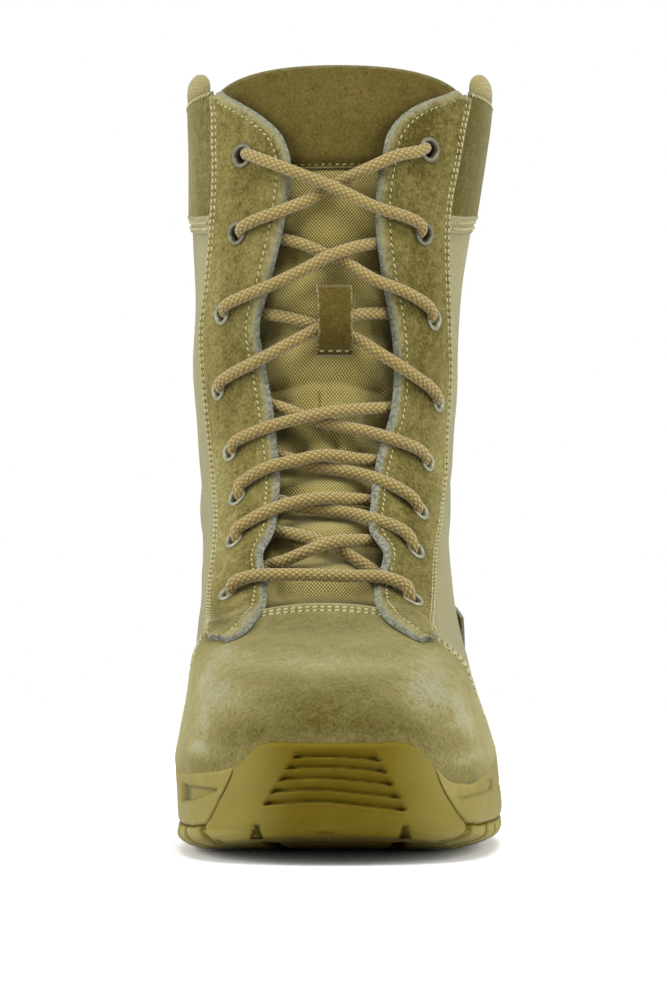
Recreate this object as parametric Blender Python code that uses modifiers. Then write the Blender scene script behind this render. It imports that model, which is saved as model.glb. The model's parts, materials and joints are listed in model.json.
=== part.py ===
"""Lace-up boot, left foot, as separate solids.

Metres, +Z up. The toe points to -Y, the lateral side is +X, and the origin is on the floor
under the middle of the boot. Every upper piece comes from one function of the last, on_last():
a level from the feather line to the collar, an arc along the surface from the front line
(minus towards the medial side, plus towards the lateral side) and a lift off the surface.
"""

import functools
import math

import bmesh
import bpy
import numpy as np
from mathutils import Matrix, Vector

MM = 0.001

GAP = 0.3 * MM
UPPER_WALL = 2.4 * MM
FACING_THICKNESS = 2.2 * MM
PANEL_THICKNESS = 1.8 * MM
INSOLE_RISE = 0.4
INSOLE_INSET = 0.9 * MM
TONGUE_OUTSIDE = -6.2 * MM
TONGUE_THICKNESS = 5.0 * MM
COLLAR_LEVEL = 14.1
PANEL_STATIONS = 29
OVERLAY_CUT = (-1.5 * MM, 5 * MM)
PANEL_GAP = 0.8 * MM
ROLL_START = 66 * MM
ROLL_STATIONS = 20
ROLL_SIDES = 8
ROLL_HALF_HEIGHT = 0.34
ROLL_RISE = 0.02
ROLL_HALF_THICKNESS = 3.4 * MM
ROLL_LIFT = -2.0 * MM
LACE_RADIUS = 2.2 * MM
LACE_OVER = GAP + FACING_THICKNESS + LACE_RADIUS + 1.6 * MM
LACE_UNDER = -LACE_RADIUS - 0.4 * MM
LACE_CLEAR = 7.2 * MM
EYELET_HOLE_SHARE = 0.80
EYELET_SIDES = 8
THROAT_BEHIND_EYELET = 5.0 * MM
KEEPER_HALF_WIDTH = 5.4 * MM
KEEPER_THICKNESS = 1.6 * MM
GROOVE_DEPTH = 4.2 * MM
PARTING_GAP = 0.3 * MM

# The last, a row for each level from the feather line up, in millimetres.
# y_front, z_front, y_back, z_back: where the level meets the front and back lines.
# x_centre, half_medial, half_lateral: its middle and its half widths before the rounding.
# front_radius, back_radius: how tightly it turns at its two ends.
# foot_share: how much of the waist's narrowing it takes.
LAST = (
    ("feather", -143, 17, 141, 27, -1.2, 51.0, 51.0, 46, 32, 1.00),
    ("rim", -147.5, 27, 145, 36, -1.4, 55.5, 55.5, 48, 34, 1.00),
    ("wall", -148, 37, 147, 45, -1.8, 53.5, 54.0, 47, 34, 1.00),
    ("toe cap", -143.5, 48, 148, 56, -2.5, 50.3, 51.2, 44, 34, 1.00),
    ("toe top", -131, 59, 147.5, 68, -3.4, 48.7, 49.8, 40, 33, 0.95),
    ("vamp", -107, 67.5, 145.5, 80, -4.2, 50.6, 49.6, 34, 31, 0.90),
    ("throat", -80, 77, 142.5, 92, -4.8, 53.0, 51.0, 29, 30, 0.80),
    ("instep", -58, 90, 139.5, 104, -5.1, 55.7, 52.6, 27, 30, 0.62),
    ("bend", -38, 107, 137, 117, -5.2, 56.0, 53.0, 28, 31, 0.45),
    ("ankle", -20, 126, 135.5, 132, -5.1, 56.3, 55.5, 31, 33, 0.28),
    ("shank", -8, 150, 135, 152, -5.1, 55.7, 55.0, 35, 36, 0.12),
    ("shaft", -2, 180, 135.5, 180, -4.5, 56.1, 55.2, 38, 40, 0.00),
    ("calf", 4, 215, 137.5, 212, -3.2, 59.1, 59.6, 41, 43, 0.00),
    ("collar", 10, 248, 140, 241, -0.8, 62.6, 62.6, 45, 48, 0.00),
    ("top edge", 13, 266, 141, 257, 0.0, 65.1, 65.4, 46, 50, 0.00),
    ("above", 15, 282, 142, 271, 0.0, 65.6, 65.9, 46, 50, 0.00),
)

# How far the waist and heel are narrower than the ball: y in millimetres, shares of the half width.
WAIST = (
    ("y", "medial", "lateral"),
    (-160, 0.00, 0.04),
    (-110, 0.00, 0.04),
    (-70, 0.00, 0.01),
    (-35, 0.05, 0.00),
    (0, 0.16, 0.05),
    (40, 0.27, 0.16),
    (80, 0.28, 0.27),
    (115, 0.27, 0.30),
    (160, 0.27, 0.30),
)

# The sole's outline, from the tread up: where it stands between the tread and the rim, then as LAST.
SOLE = (
    ("ground", 0.00, -147.0, 142.0, -2.2, 48.4, 47.0, 45, 36),
    ("lug side", 0.12, -150.0, 147.5, -1.6, 54.7, 56.0, 47, 38),
    ("tread top", 0.34, -151.0, 150.5, -1.3, 55.8, 59.0, 48, 39),
    ("pod", 0.70, -151.3, 151.3, -1.4, 56.5, 58.4, 48, 39),
    ("rim", 1.00, -150.3, 150.2, -1.6, 57.0, 57.6, 48, 39),
)

# Heights along the sole, in millimetres: toe spring and heel bevel, then the rim on each side.
SOLE_HEIGHTS = (
    ("y", "tread", "rim_medial", "rim_lateral"),
    (-152, 11.2, 40.0, 40.0),
    (-144.5, 9.6, 39.0, 39.0),
    (-140, 8.7, 33.0, 33.0),
    (-136, 7.9, 31.2, 28.2),
    (-128, 6.4, 30.0, 25.8),
    (-110, 3.7, 28.8, 27.4),
    (-90, 1.4, 28.0, 30.5),
    (-66, 0.0, 28.4, 31.7),
    (-40, 0.0, 29.4, 32.0),
    (20, 0.0, 31.5, 33.5),
    (80, 0.0, 34.5, 35.5),
    (132, 0.0, 37.0, 37.0),
    (144, 0.9, 37.5, 37.5),
    (152, 2.6, 38.0, 38.0),
)

# Side profiles as (y, z) points in millimetres: the joint of the outsole, and the arch's hollow.
PARTING = ((-170, 80), (-141, 46), (-137, 28.5), (-122, 12.2), (-112, 10.2), (-60, 9.8), (170, 10.6))
ARCH = ((-13, -2), (-12, 0), (0, 2.4), (12, 4.6), (28, 6), (45, 6.2), (50, 0), (50, -2))

# Tread grooves, in millimetres: first y, pitch and count, at the forefoot and at the heel.
FOREFOOT_GROOVES = (-126, 16.4, 7)
HEEL_GROOVES = (69, 18, 4)
GROOVE_SWEEP = 8
GROOVE_FOOT_WIDTH = 5.2
GROOVE_TOP_WIDTH = 2.8
GROOVE_BELOW = -2
GROOVE_HALF_LENGTH = 75
# The long channels of the tread, as (x, y) points in millimetres.
CHANNELS = (
    ((-23, -165), (-26, -140), (-21, -110), (-16, -70), (-13, -14)),
    ((19, -165), (21, -140), (19, -110), (17, -70), (14, -14)),
    ((-12, 49), (-12, 100), (-15, 160)),
    ((9, 49), (9, 100), (12, 160)),
)

# The facings beside the throat, bottom to top: arcs of their inner and outer edges in millimetres.
FACINGS = (
    ("level", "medial_inner", "medial_outer", "lateral_inner", "lateral_outer"),
    (5.10, 43.0, 49.0, 37.5, 42.0),
    (5.40, 32.0, 53.5, 30.0, 44.5),
    (5.75, 28.0, 55.0, 24.0, 46.0),
    (6.10, 25.5, 55.5, 21.0, 47.5),
    (6.75, 23.0, 55.0, 19.5, 49.5),
    (7.50, 23.5, 51.5, 22.0, 51.5),
    (8.00, 19.5, 50.0, 17.5, 55.0),
    (8.50, 18.5, 50.5, 18.0, 57.5),
    (9.25, 18.5, 52.0, 20.5, 58.5),
    (10.00, 21.0, 55.0, 26.0, 59.5),
    (10.50, 24.0, 57.5, 27.0, 59.0),
    (11.00, 26.5, 58.5, 25.5, 56.0),
    (11.50, 22.5, 54.0, 21.5, 52.0),
    (12.30, 18.0, 51.0, 17.5, 49.0),
    (12.75, 18.5, 51.5, 18.5, 51.0),
    (13.00, 22.0, 52.5, 19.5, 52.0),
    (13.30, 29.5, 53.0, 24.0, 53.0),
    (13.65, 39.5, 53.5, 33.5, 54.5),
    (13.88, 46.5, 54.0, 43.0, 55.2),
    (14.02, 50.0, 54.0, 48.5, 55.5),
)

# Eyelet rows, top to bottom: level and arc on each side, and the rim's radius, in millimetres.
EYELETS = (
    ("row", "medial_level", "medial", "lateral_level", "lateral", "radius"),
    (1, 12.80, 35.2, 12.88, 34.4, 4.6),
    (2, 11.97, 35.2, 11.97, 35.2, 4.4),
    (3, 11.15, 41.6, 11.10, 42.3, 4.1),
    (4, 10.27, 43.2, 10.12, 47.0, 3.9),
    (5, 9.38, 37.0, 9.22, 41.2, 3.8),
    (6, 8.58, 34.2, 8.31, 38.3, 3.8),
    (7, 7.74, 36.0, 7.52, 36.0, 3.8),
    (8, 6.52, 39.3, 6.37, 34.0, 3.9),
)

# An eyelet's section: share of its radius, and height over the facing in millimetres.
EYELET_SECTION = ((0.58, 0.7), (0.78, 1.3), (1.00, 0.7), (0.70, 0.6), (0.70, -2.9), (0.58, -2.9))

# The throat, where the shell is cut away: level, and how far its middle stands above its ends.
THROAT = (
    (5.8, 0.55),
    (6.3, 0.25),
    (6.9, 0.0),
    (7.6, 0.0),
    (8.5, 0.0),
    (9.3, 0.0),
    (10.2, 0.0),
    (11.15, 0.0),
    (12.0, 0.0),
    (12.85, 0.0),
    (13.6, 0.0),
    (14.4, 0.0),
)

# The tongue, bottom to top: arcs of its edges in millimetres.
TONGUE = (
    ("level", "medial", "lateral"),
    (5.70, 27, 25),
    (6.60, 33, 31),
    (8.50, 36, 36),
    (10.20, 43, 43),
    (11.20, 43, 43),
    (12.20, 43, 42),
    (13.20, 52, 51),
    (14.00, 62, 61),
)
TONGUE_CROWN = 0.58
TONGUE_SHOULDER = 3

# The heel counter: level of its top edge by the arc from the back line, minus on the lateral side.
COUNTER = (
    ("from_back", "top"),
    (-172, 5.75),
    (-150, 5.75),
    (-120, 6.0),
    (-90, 6.2),
    (-60, 6.5),
    (-30, 6.9),
    (0, 7.1),
    (30, 6.9),
    (60, 6.4),
    (90, 5.7),
    (120, 4.8),
    (150, 3.6),
    (164, 2.5),
)
COUNTER_FOOT_LEVEL = 0.8
COUNTER_FOOT_HIGHEST = 2.0
COUNTER_CLEAR = 1.5 * MM

PANEL_LEVELS = (12.2, 12.75, 13.3, 13.65, 14.02, 14.3)

# The loop on the tongue that holds the third crossing: level, and lift in millimetres.
KEEPER = (
    (11.40, -5.0),
    (11.38, 0.5),
    (11.34, 4.6),
    (11.14, 6.1),
    (10.96, 4.8),
    (10.86, 2.2),
    (10.77, -4.4),
    (10.69, -5.0),
)
KEEPER_ARC = 2.1 * MM

# Each crossing of the lace. drop: how far below the row above a strand leaves the facing's edge.
# rise: how far above the row below it meets the other facing's edge. up: its middle, higher.
CROSSINGS = (
    ("row", "drop", "rise", "up"),
    (1, 0.05, 0.30, 0.00),
    (2, 0.05, 0.30, 0.00),
    (3, 0.05, 0.30, 0.33),
    (4, 0.05, 0.30, 0.00),
    (5, 0.05, 0.30, 0.00),
    (6, 0.05, 0.30, 0.00),
    (7, -0.25, 0.72, 0.00),
)
CROSSING_LIFTS = {"over": 1.2 * MM, "under": -2.4 * MM}
LACE_TUCK = 3.0 * MM
LACE_PEEP = 2.0 * MM
LACE_BAR = ((6.83, -23), (6.90, 0), (6.78, 20))
BAR_LIFT = 1.5 * MM
STRAND_POINTS = 7

LATTICE_LEVELS = (0, 1, 2, 3, 4, 5, 6, 7, 8, 9, 10, 11, 12.3, 13.2, 14.1, 14.6)
LATTICE_COLUMNS = 15
LATTICE_EVEN_SHARE = 0.45
LOOP_POINTS = 241
THROAT_POINTS = 9
SOLE_STATIONS = 23

# Name: colour, roughness, metallic.
MATERIALS = {
    "suede": ((0.30, 0.24, 0.12), 0.9, 0.0),
    "nylon": ((0.46, 0.42, 0.30), 0.85, 0.0),
    "outsole rubber": ((0.22, 0.18, 0.05), 0.6, 0.0),
    "midsole rubber": ((0.30, 0.25, 0.09), 0.65, 0.0),
    "lining": ((0.52, 0.47, 0.36), 0.95, 0.0),
    "lace cord": ((0.46, 0.32, 0.14), 0.85, 0.0),
    "painted metal": ((0.42, 0.40, 0.32), 0.45, 0.6),
}


def smooth(xs, ys, x):
    """A smooth curve through (xs, ys), read at x and held level beyond the ends."""
    xs = np.asarray(xs, float)
    ys = np.asarray(ys, float)
    x = np.clip(np.asarray(x, float), xs[0], xs[-1])
    step = np.diff(xs)
    slope = np.diff(ys) / step
    inner = (slope[:-1] * step[1:] + slope[1:] * step[:-1]) / (step[:-1] + step[1:])
    tangent = np.concatenate([slope[:1], inner, slope[-1:]])
    i = np.clip(np.searchsorted(xs, x, side="right") - 1, 0, len(xs) - 2)
    h = step[i]
    u = (x - xs[i]) / h
    rise = u * u * (3 - 2 * u)
    bend = u * (1 - u) ** 2 * tangent[i] - u * u * (1 - u) * tangent[i + 1]
    return ys[i] * (1 - rise) + ys[i + 1] * rise + h * bend


def column(table, name, x):
    """One named column of a table whose first row names them, read at x of its first column."""
    place = table[0].index(name)
    return smooth([row[0] for row in table[1:]], [row[place] for row in table[1:]], x)


def half_width(run, length, half, front_radius, back_radius):
    """Half width along an outline that is round at both ends and reaches half between them."""
    front = np.sqrt(2 * front_radius * length * run)
    back = np.sqrt(2 * back_radius * length * (1 - run))
    parts = [np.maximum(part, 1e-9) ** -4.0 for part in (half + 0 * run, front, back)]
    return sum(parts) ** -0.25


def waist(y, side, share):
    """The share of the half width that is left at y on one side."""
    return 1 - share * column(WAIST, "lateral" if side > 0 else "medial", y / MM)


@functools.lru_cache(maxsize=None)
def last_columns(level):
    values = [smooth(range(len(LAST)), [row[place] for row in LAST], level) for place in range(1, 11)]
    return [value * MM for value in values[:9]] + [values[9]]


@functools.lru_cache(maxsize=None)
def loop_at(level):
    """(arcs, points) once round the last at a level, from the back line past the medial side."""
    values = last_columns(level)
    y_front, z_front, y_back, z_back, x_centre, half_medial, half_lateral = values[:7]
    front_radius, back_radius, share = values[7:]
    run = (1 - np.cos(np.linspace(0, math.pi, LOOP_POINTS))) / 2
    y = y_front + (y_back - y_front) * run
    z = z_front + (z_back - z_front) * run
    length = math.hypot(y_back - y_front, z_back - z_front)
    sides = []
    for side, half in ((-1, half_medial), (1, half_lateral)):
        width = half_width(run, length, half * waist(y, side, share), front_radius, back_radius)
        sides.append(np.stack([x_centre + side * width, y, z], axis=1))
    sides[0][[0, -1]] = sides[1][[0, -1]]
    points = np.concatenate([sides[0][:0:-1], sides[1]])
    arcs = np.concatenate([[0], np.cumsum(np.linalg.norm(np.diff(points, axis=0), axis=1))])
    return arcs - arcs[len(run) - 1], points


def girths(level):
    """Half girths of the last at a level: from the front line to the back line on each side."""
    arcs = loop_at(round(level, 4))[0]
    return -arcs[0], arcs[-1]


def surface_point(level, arc):
    arcs, points = loop_at(round(level, 4))
    around = arcs[-1] - arcs[0]
    arc = (arc - arcs[0]) % around + arcs[0]
    return np.array([np.interp(arc, arcs, points[:, axis]) for axis in range(3)])


def on_last(level, arc, lift=0.0):
    """The point at a level and an arc, lifted off the surface of the last, outwards if positive."""
    reach = 1.5 * MM
    across = surface_point(level, arc + reach) - surface_point(level, arc - reach)
    lower = max(level - 0.06, 0.0)
    upper = min(level + 0.06, len(LAST) - 1.0)
    along = surface_point(upper, arc) - surface_point(lower, arc)
    outwards = np.cross(across, along)
    return surface_point(level, arc) + lift * outwards / np.linalg.norm(outwards)


def lattice_arcs(level):
    """The arcs of the shared lattice once round a level, from the front, lateral side first."""
    medial, lateral = girths(level)
    even = np.linspace(0, 1, LATTICE_COLUMNS + 1)
    crowded = (1 - np.cos(math.pi * even)) / 2
    share = LATTICE_EVEN_SHARE * even + (1 - LATTICE_EVEN_SHARE) * crowded
    return np.concatenate([share * lateral, -share[-2:0:-1] * medial])


def lattice_ring(level, lift):
    return [on_last(level, arc, lift) for arc in lattice_arcs(level)]


def material_named(name):
    material = bpy.data.materials.get(name)
    if material is None:
        colour, roughness, metallic = MATERIALS[name]
        material = bpy.data.materials.new(name)
        material.use_nodes = True
        shader = material.node_tree.nodes["Principled BSDF"]
        shader.inputs["Base Color"].default_value = (*colour, 1)
        shader.inputs["Roughness"].default_value = roughness
        shader.inputs["Metallic"].default_value = metallic
        material.diffuse_color = (*colour, 1)
    return material


def add_object(name, data, material=None):
    """A new object: a visible part with its material, or a hidden cutter without one."""
    item = bpy.data.objects.new(name, data)
    if material is None:
        CUTTERS.objects.link(item)
        item.hide_render = True
        item.display_type = "WIRE"
    else:
        PARTS.objects.link(item)
        data.materials.append(material_named(material))
    return item


def loft(name, rings, ends, material=None):
    """A closed solid through rings of equally many points.

    Its four-sided gaps are split along the same diagonal whichever way the rings run, so that
    two layers off the last stay parallel.
    ends is "joined" (the last ring meets the first), "flat" (one face at each end), "ladder"
    (rungs from side to side, for rings that start at the front line) or "strip" (rungs between
    the two halves of a ring that runs out along one edge and back along another).
    """
    mesh = bmesh.new()
    rows = [[mesh.verts.new(point) for point in ring] for ring in rings]
    count = len(rows[0])
    pairs = list(zip(rows, rows[1:]))
    if ends == "joined":
        pairs.append((rows[-1], rows[0]))
    for low, high in pairs:
        for i in range(count):
            j = (i + 1) % count
            if low[i].co.z < high[i].co.z:
                mesh.faces.new((low[i], low[j], high[j]))
                mesh.faces.new((low[i], high[j], high[i]))
            else:
                mesh.faces.new((low[i], low[j], high[i]))
                mesh.faces.new((low[j], high[j], high[i]))
    if ends == "flat":
        mesh.faces.new(rows[0][::-1])
        mesh.faces.new(rows[-1])
    if ends in ("ladder", "strip"):
        back = 0 if ends == "ladder" else 1
        for row in (rows[0], rows[-1]):
            for i in range(count // 2 - back):
                corners = [row[i], row[i + 1], row[-i - 1 - back], row[-i - back]]
                mesh.faces.new(list(dict.fromkeys(corners)))
    bmesh.ops.recalc_face_normals(mesh, faces=mesh.faces)
    data = bpy.data.meshes.new(name)
    mesh.to_mesh(data)
    mesh.free()
    return add_object(name, data, material)


def boolean(target, cutter, operation):
    step = target.modifiers.new(f"{operation.title()} {cutter.name}", "BOOLEAN")
    step.operation = operation
    step.object = cutter
    return target


def shell(name, inside, outside, levels, material):
    """The wall between two lifts off the last over some levels, a ring open above and below."""
    rings = [lattice_ring(level, outside) for level in levels]
    rings += [lattice_ring(level, inside) for level in reversed(levels)]
    return loft(name, rings, "joined", material)


def levels_between(low, high):
    """The shared lattice's levels that span a range, so that layers keep parallel facets."""
    first = max(level for level in LATTICE_LEVELS if level <= low)
    final = min(level for level in LATTICE_LEVELS if level >= high)
    return [level for level in LATTICE_LEVELS if first <= level <= final]


def patch(name, rows, inside=-9 * MM, outside=7 * MM):
    """A cutter over part of the last: rows of (level, arc) points, between two lifts."""
    rings = []
    for row in rows:
        ring = [on_last(level, arc, outside) for level, arc in row]
        ring += [on_last(level, arc, inside) for level, arc in reversed(row)]
        rings.append(ring)
    return loft(name, rings, "strip")


def side_name(side):
    return "lateral" if side > 0 else "medial"


def facing_edge(side, edge, level):
    """The arc of a facing's inner or outer edge, minus on the medial side."""
    return side * column(FACINGS, f"{side_name(side)}_{edge}", level) * MM


def eyelet_at(row, side):
    """An eyelet's level and its arc, minus on the medial side."""
    found = dict(zip(EYELETS[0], EYELETS[row]))
    return found[f"{side_name(side)}_level"], side * found[side_name(side)] * MM


def throat_edge(side, level):
    """The arc of the throat's edge, a little behind one side's line of eyelets."""
    places = [eyelet_at(row, side) for row in range(len(EYELETS) - 1, 0, -1)]
    levels, arcs = zip(*places)
    return smooth(levels, arcs, level) + side * THROAT_BEHIND_EYELET


def make_upper():
    upper = shell("upper", -UPPER_WALL, 0.0, levels_between(0, COLLAR_LEVEL), "nylon")
    rows = []
    for level, rise in THROAT:
        across = np.linspace(-1, 1, THROAT_POINTS)
        arcs = np.interp(across, (-1, 1), (throat_edge(-1, level), throat_edge(1, level)))
        rows.append([(level + rise * (1 - x * x), arc) for x, arc in zip(across, arcs)])
    return boolean(upper, patch("cutter_throat", rows), "DIFFERENCE")


def eyelet_frame(level, arc):
    """Matrix that stands an eyelet on the facing: local Z points out of the boot."""
    centre = Vector(on_last(level, arc, GAP + FACING_THICKNESS))
    outwards = Vector(on_last(level, arc, GAP + FACING_THICKNESS + MM)) - centre
    return Matrix.Translation(centre) @ outwards.to_track_quat("Z", "Y").to_matrix().to_4x4()


def eyelet_places():
    """Name, radius and frame of every eyelet."""
    for row in range(1, len(EYELETS)):
        for side in (-1, 1):
            name = f"eyelet_{side_name(side)}_{row}"
            yield name, EYELETS[row][-1] * MM, eyelet_frame(*eyelet_at(row, side))


def make_eyelet_holes():
    mesh = bmesh.new()
    for _, radius, frame in eyelet_places():
        bmesh.ops.create_cone(
            mesh,
            cap_ends=True,
            segments=EYELET_SIDES,
            radius1=EYELET_HOLE_SHARE * radius,
            radius2=EYELET_HOLE_SHARE * radius,
            depth=12 * MM,
            matrix=frame,
        )
    data = bpy.data.meshes.new("cutter_eyelet_holes")
    mesh.to_mesh(data)
    mesh.free()
    return add_object("cutter_eyelet_holes", data)


def make_facings():
    holes = make_eyelet_holes()
    levels = levels_between(FACINGS[1][0], COLLAR_LEVEL)
    for side in (-1, 1):
        name = f"facing_{side_name(side)}"
        facing = shell(name, GAP, GAP + FACING_THICKNESS, levels, "suede")
        rows = []
        for level, *_ in FACINGS[1:]:
            edges = (facing_edge(side, "inner", level), facing_edge(side, "outer", level))
            rows.append([(level, arc) for arc in np.linspace(*edges, 5)])
        boolean(facing, patch(f"cutter_{name}", rows), "INTERSECT")
        boolean(facing, holes, "DIFFERENCE")


def make_eyelets():
    for name, radius, frame in eyelet_places():
        data = bpy.data.meshes.new(name)
        points = [(share * radius, 0, height * MM) for share, height in EYELET_SECTION]
        edges = [(i, (i + 1) % len(points)) for i in range(len(points))]
        data.from_pydata(points, edges, [])
        eyelet = add_object(name, data, "painted metal")
        eyelet.matrix_world = frame
        turn = eyelet.modifiers.new("Turn", "SCREW")
        turn.steps = EYELET_SIDES
        turn.render_steps = EYELET_SIDES
        turn.use_merge_vertices = True
        turn.merge_threshold = 0.00005


def make_collar_panel():
    levels = levels_between(PANEL_LEVELS[0], COLLAR_LEVEL)
    panel = shell("collar_panel", GAP, GAP + PANEL_THICKNESS, levels, "suede")
    rows = []
    for level in PANEL_LEVELS:
        start = facing_edge(1, "outer", level) + PANEL_GAP
        end = sum(girths(level)) + facing_edge(-1, "outer", level) - PANEL_GAP
        rows.append([(level, arc) for arc in np.linspace(start, end, PANEL_STATIONS)])
    boolean(panel, patch("cutter_collar_panel", rows, *OVERLAY_CUT), "INTERSECT")


def make_collar_roll():
    """The padded edge of the lining above the collar panel, from one facing round to the other."""
    middle_level = COLLAR_LEVEL + ROLL_HALF_HEIGHT + ROLL_RISE
    rings = []
    for arc in np.linspace(ROLL_START, sum(girths(middle_level)) - ROLL_START, ROLL_STATIONS):
        ring = []
        for turn in np.linspace(0, 2 * math.pi, ROLL_SIDES, endpoint=False):
            level = middle_level + ROLL_HALF_HEIGHT * math.sin(turn)
            ring.append(on_last(level, arc, ROLL_LIFT + ROLL_HALF_THICKNESS * math.cos(turn)))
        rings.append(ring)
    loft("collar_roll", rings, "flat", "lining")


def make_tongue():
    levels = levels_between(TONGUE[1][0], TONGUE[-1][0] + TONGUE_CROWN)
    inside = TONGUE_OUTSIDE - TONGUE_THICKNESS
    tongue = shell("tongue", inside, TONGUE_OUTSIDE, levels, "nylon")
    rows = []
    across = np.linspace(-1, 1, THROAT_POINTS)
    for level, medial, lateral in TONGUE[1:]:
        arcs = ((lateral - medial) / 2 + across * (lateral + medial) / 2) * MM
        crown = TONGUE_CROWN if level == TONGUE[-1][0] else 0.0
        bows = crown * (1 - np.abs(across) ** TONGUE_SHOULDER)
        rows.append([(level + bow, arc) for bow, arc in zip(bows, arcs)])
    boolean(tongue, patch("cutter_tongue", rows, inside - 3 * MM, 0.0), "INTERSECT")


def make_lace_keeper():
    half_thickness = KEEPER_THICKNESS / 2
    path = [Vector(on_last(level, KEEPER_ARC, lift * MM)) for level, lift in KEEPER]
    across = Vector(on_last(11, KEEPER_ARC + MM)) - Vector(on_last(11, KEEPER_ARC - MM))
    across.normalize()
    rings = []
    for i, point in enumerate(path):
        along = path[min(i + 1, len(path) - 1)] - path[max(i - 1, 0)]
        outwards = across.cross(along).normalized() * half_thickness
        aside = across * KEEPER_HALF_WIDTH
        ring = [point - aside - outwards, point + aside - outwards, point + aside + outwards]
        rings.append(ring + [point - aside + outwards])
    loft("lace_keeper", rings, "flat", "suede")


def level_above_rim(back):
    """The level at an arc from the back line where the last rises clear of the sole's rim."""
    name = "rim_lateral" if back < 0 else "rim_medial"
    for level in np.arange(COUNTER_FOOT_LEVEL, COUNTER_FOOT_HIGHEST, 0.02):
        _, y, z = surface_point(level, girths(level)[1] + back)
        if z > column(SOLE_HEIGHTS, name, y / MM) * MM + COUNTER_CLEAR:
            return level
    return COUNTER_FOOT_HIGHEST


def make_heel_counter():
    backs = [back for back, _ in COUNTER[1:]]
    tops = [top for _, top in COUNTER[1:]]
    levels = levels_between(COUNTER_FOOT_LEVEL, max(tops))
    counter = shell("heel_counter", GAP, GAP + PANEL_THICKNESS, levels, "suede")
    rows = []
    for share in np.linspace(0, 1, 3):
        row = []
        for back, top in zip(backs, tops):
            level = level_above_rim(back * MM) * (1 - share) + top * share
            row.append((level, girths(level)[1] + back * MM))
        rows.append(row)
    boolean(counter, patch("cutter_heel_counter", rows, *OVERLAY_CUT), "INTERSECT")


def make_insole():
    lift = -UPPER_WALL - INSOLE_INSET
    rings = [lattice_ring(level, lift) for level in (0.0, INSOLE_RISE)]
    loft("insole", rings, "ladder", "lining")


def sole_ring(rise, y_front, y_back, x_centre, half_medial, half_lateral, front_radius, back_radius):
    """One ring of the sole, front first and lateral side next, at a share of its height."""
    run = (1 - np.cos(np.linspace(0, math.pi, SOLE_STATIONS))) / 2
    y = y_front + (y_back - y_front) * run
    sides = []
    for side, half in ((1, half_lateral), (-1, half_medial)):
        rim = column(SOLE_HEIGHTS, "rim_lateral" if side > 0 else "rim_medial", y)
        tread = np.maximum(column(SOLE_HEIGHTS, "tread", y), 0)
        kept = waist(y * MM, side, 1.0)
        width = half_width(run, y_back - y_front, half * kept, front_radius, back_radius)
        z = tread + (rim - tread) * rise
        sides.append(np.stack([x_centre + side * width, y, z], axis=1) * MM)
    lateral, medial = sides
    return np.concatenate([lateral, medial[-2:0:-1]])


def prism(name, profile, half_span=80):
    """A cutter with a side profile of (y, z) points, run across the boot."""
    rings = [[(x * MM, y * MM, z * MM) for y, z in profile] for x in (-half_span, half_span)]
    return loft(name, rings, "flat")


def groove(name, path):
    """A tread groove along a path of (x, y) points, following the tread's own height."""
    rings = []
    for i, (x, y) in enumerate(path):
        before = Vector(path[max(i - 1, 0)])
        after = Vector(path[min(i + 1, len(path) - 1)])
        aside = Vector((-(after - before).y, (after - before).x)).normalized()
        roof = float(column(SOLE_HEIGHTS, "tread", y)) + GROOVE_DEPTH / MM
        foot_reach, roof_reach = GROOVE_FOOT_WIDTH / 2, GROOVE_TOP_WIDTH / 2
        ring = []
        for reach, z in (
            (-foot_reach, GROOVE_BELOW),
            (foot_reach, GROOVE_BELOW),
            (roof_reach, roof),
            (-roof_reach, roof),
        ):
            ring.append(((x + aside.x * reach) * MM, (y + aside.y * reach) * MM, z * MM))
        rings.append(ring)
    return loft(name, rings, "flat")


def make_sole():
    """The outsole and the midsole: one outer form, less the last, parted along a side profile."""
    rings = [sole_ring(*row[1:]) for row in SOLE]
    recess_rings = [lattice_ring(level, GAP) for level in levels_between(0, 3)]
    recess_rings[0] = [point - np.array([0, 0, GAP]) for point in recess_rings[0]]
    recess = loft("cutter_last", recess_rings, "ladder")

    below = prism("cutter_below_parting", PARTING + ((170, -5), (-170, -5)))
    raised = tuple((y, z + PARTING_GAP / MM) for y, z in PARTING)
    above = prism("cutter_above_parting", raised + ((170, 80),))

    midsole = loft("midsole", rings, "ladder", "midsole rubber")
    boolean(midsole, recess, "DIFFERENCE")
    boolean(midsole, above, "INTERSECT")

    outsole = loft("outsole", rings, "ladder", "outsole rubber")
    boolean(outsole, recess, "DIFFERENCE")
    boolean(outsole, below, "INTERSECT")
    boolean(outsole, prism("cutter_arch", ARCH), "DIFFERENCE")
    for part, (first, pitch, count) in (("forefoot", FOREFOOT_GROOVES), ("heel", HEEL_GROOVES)):
        for i in range(count):
            y = first + pitch * i
            ends = (-GROOVE_HALF_LENGTH, GROOVE_HALF_LENGTH)
            path = ((ends[0], y + GROOVE_SWEEP), (-1, y), (ends[1], y + GROOVE_SWEEP))
            boolean(outsole, groove(f"cutter_{part}_groove_{i + 1}", path), "DIFFERENCE")
    for i, path in enumerate(CHANNELS, start=1):
        boolean(outsole, groove(f"cutter_channel_{i}", path), "DIFFERENCE")


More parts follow.
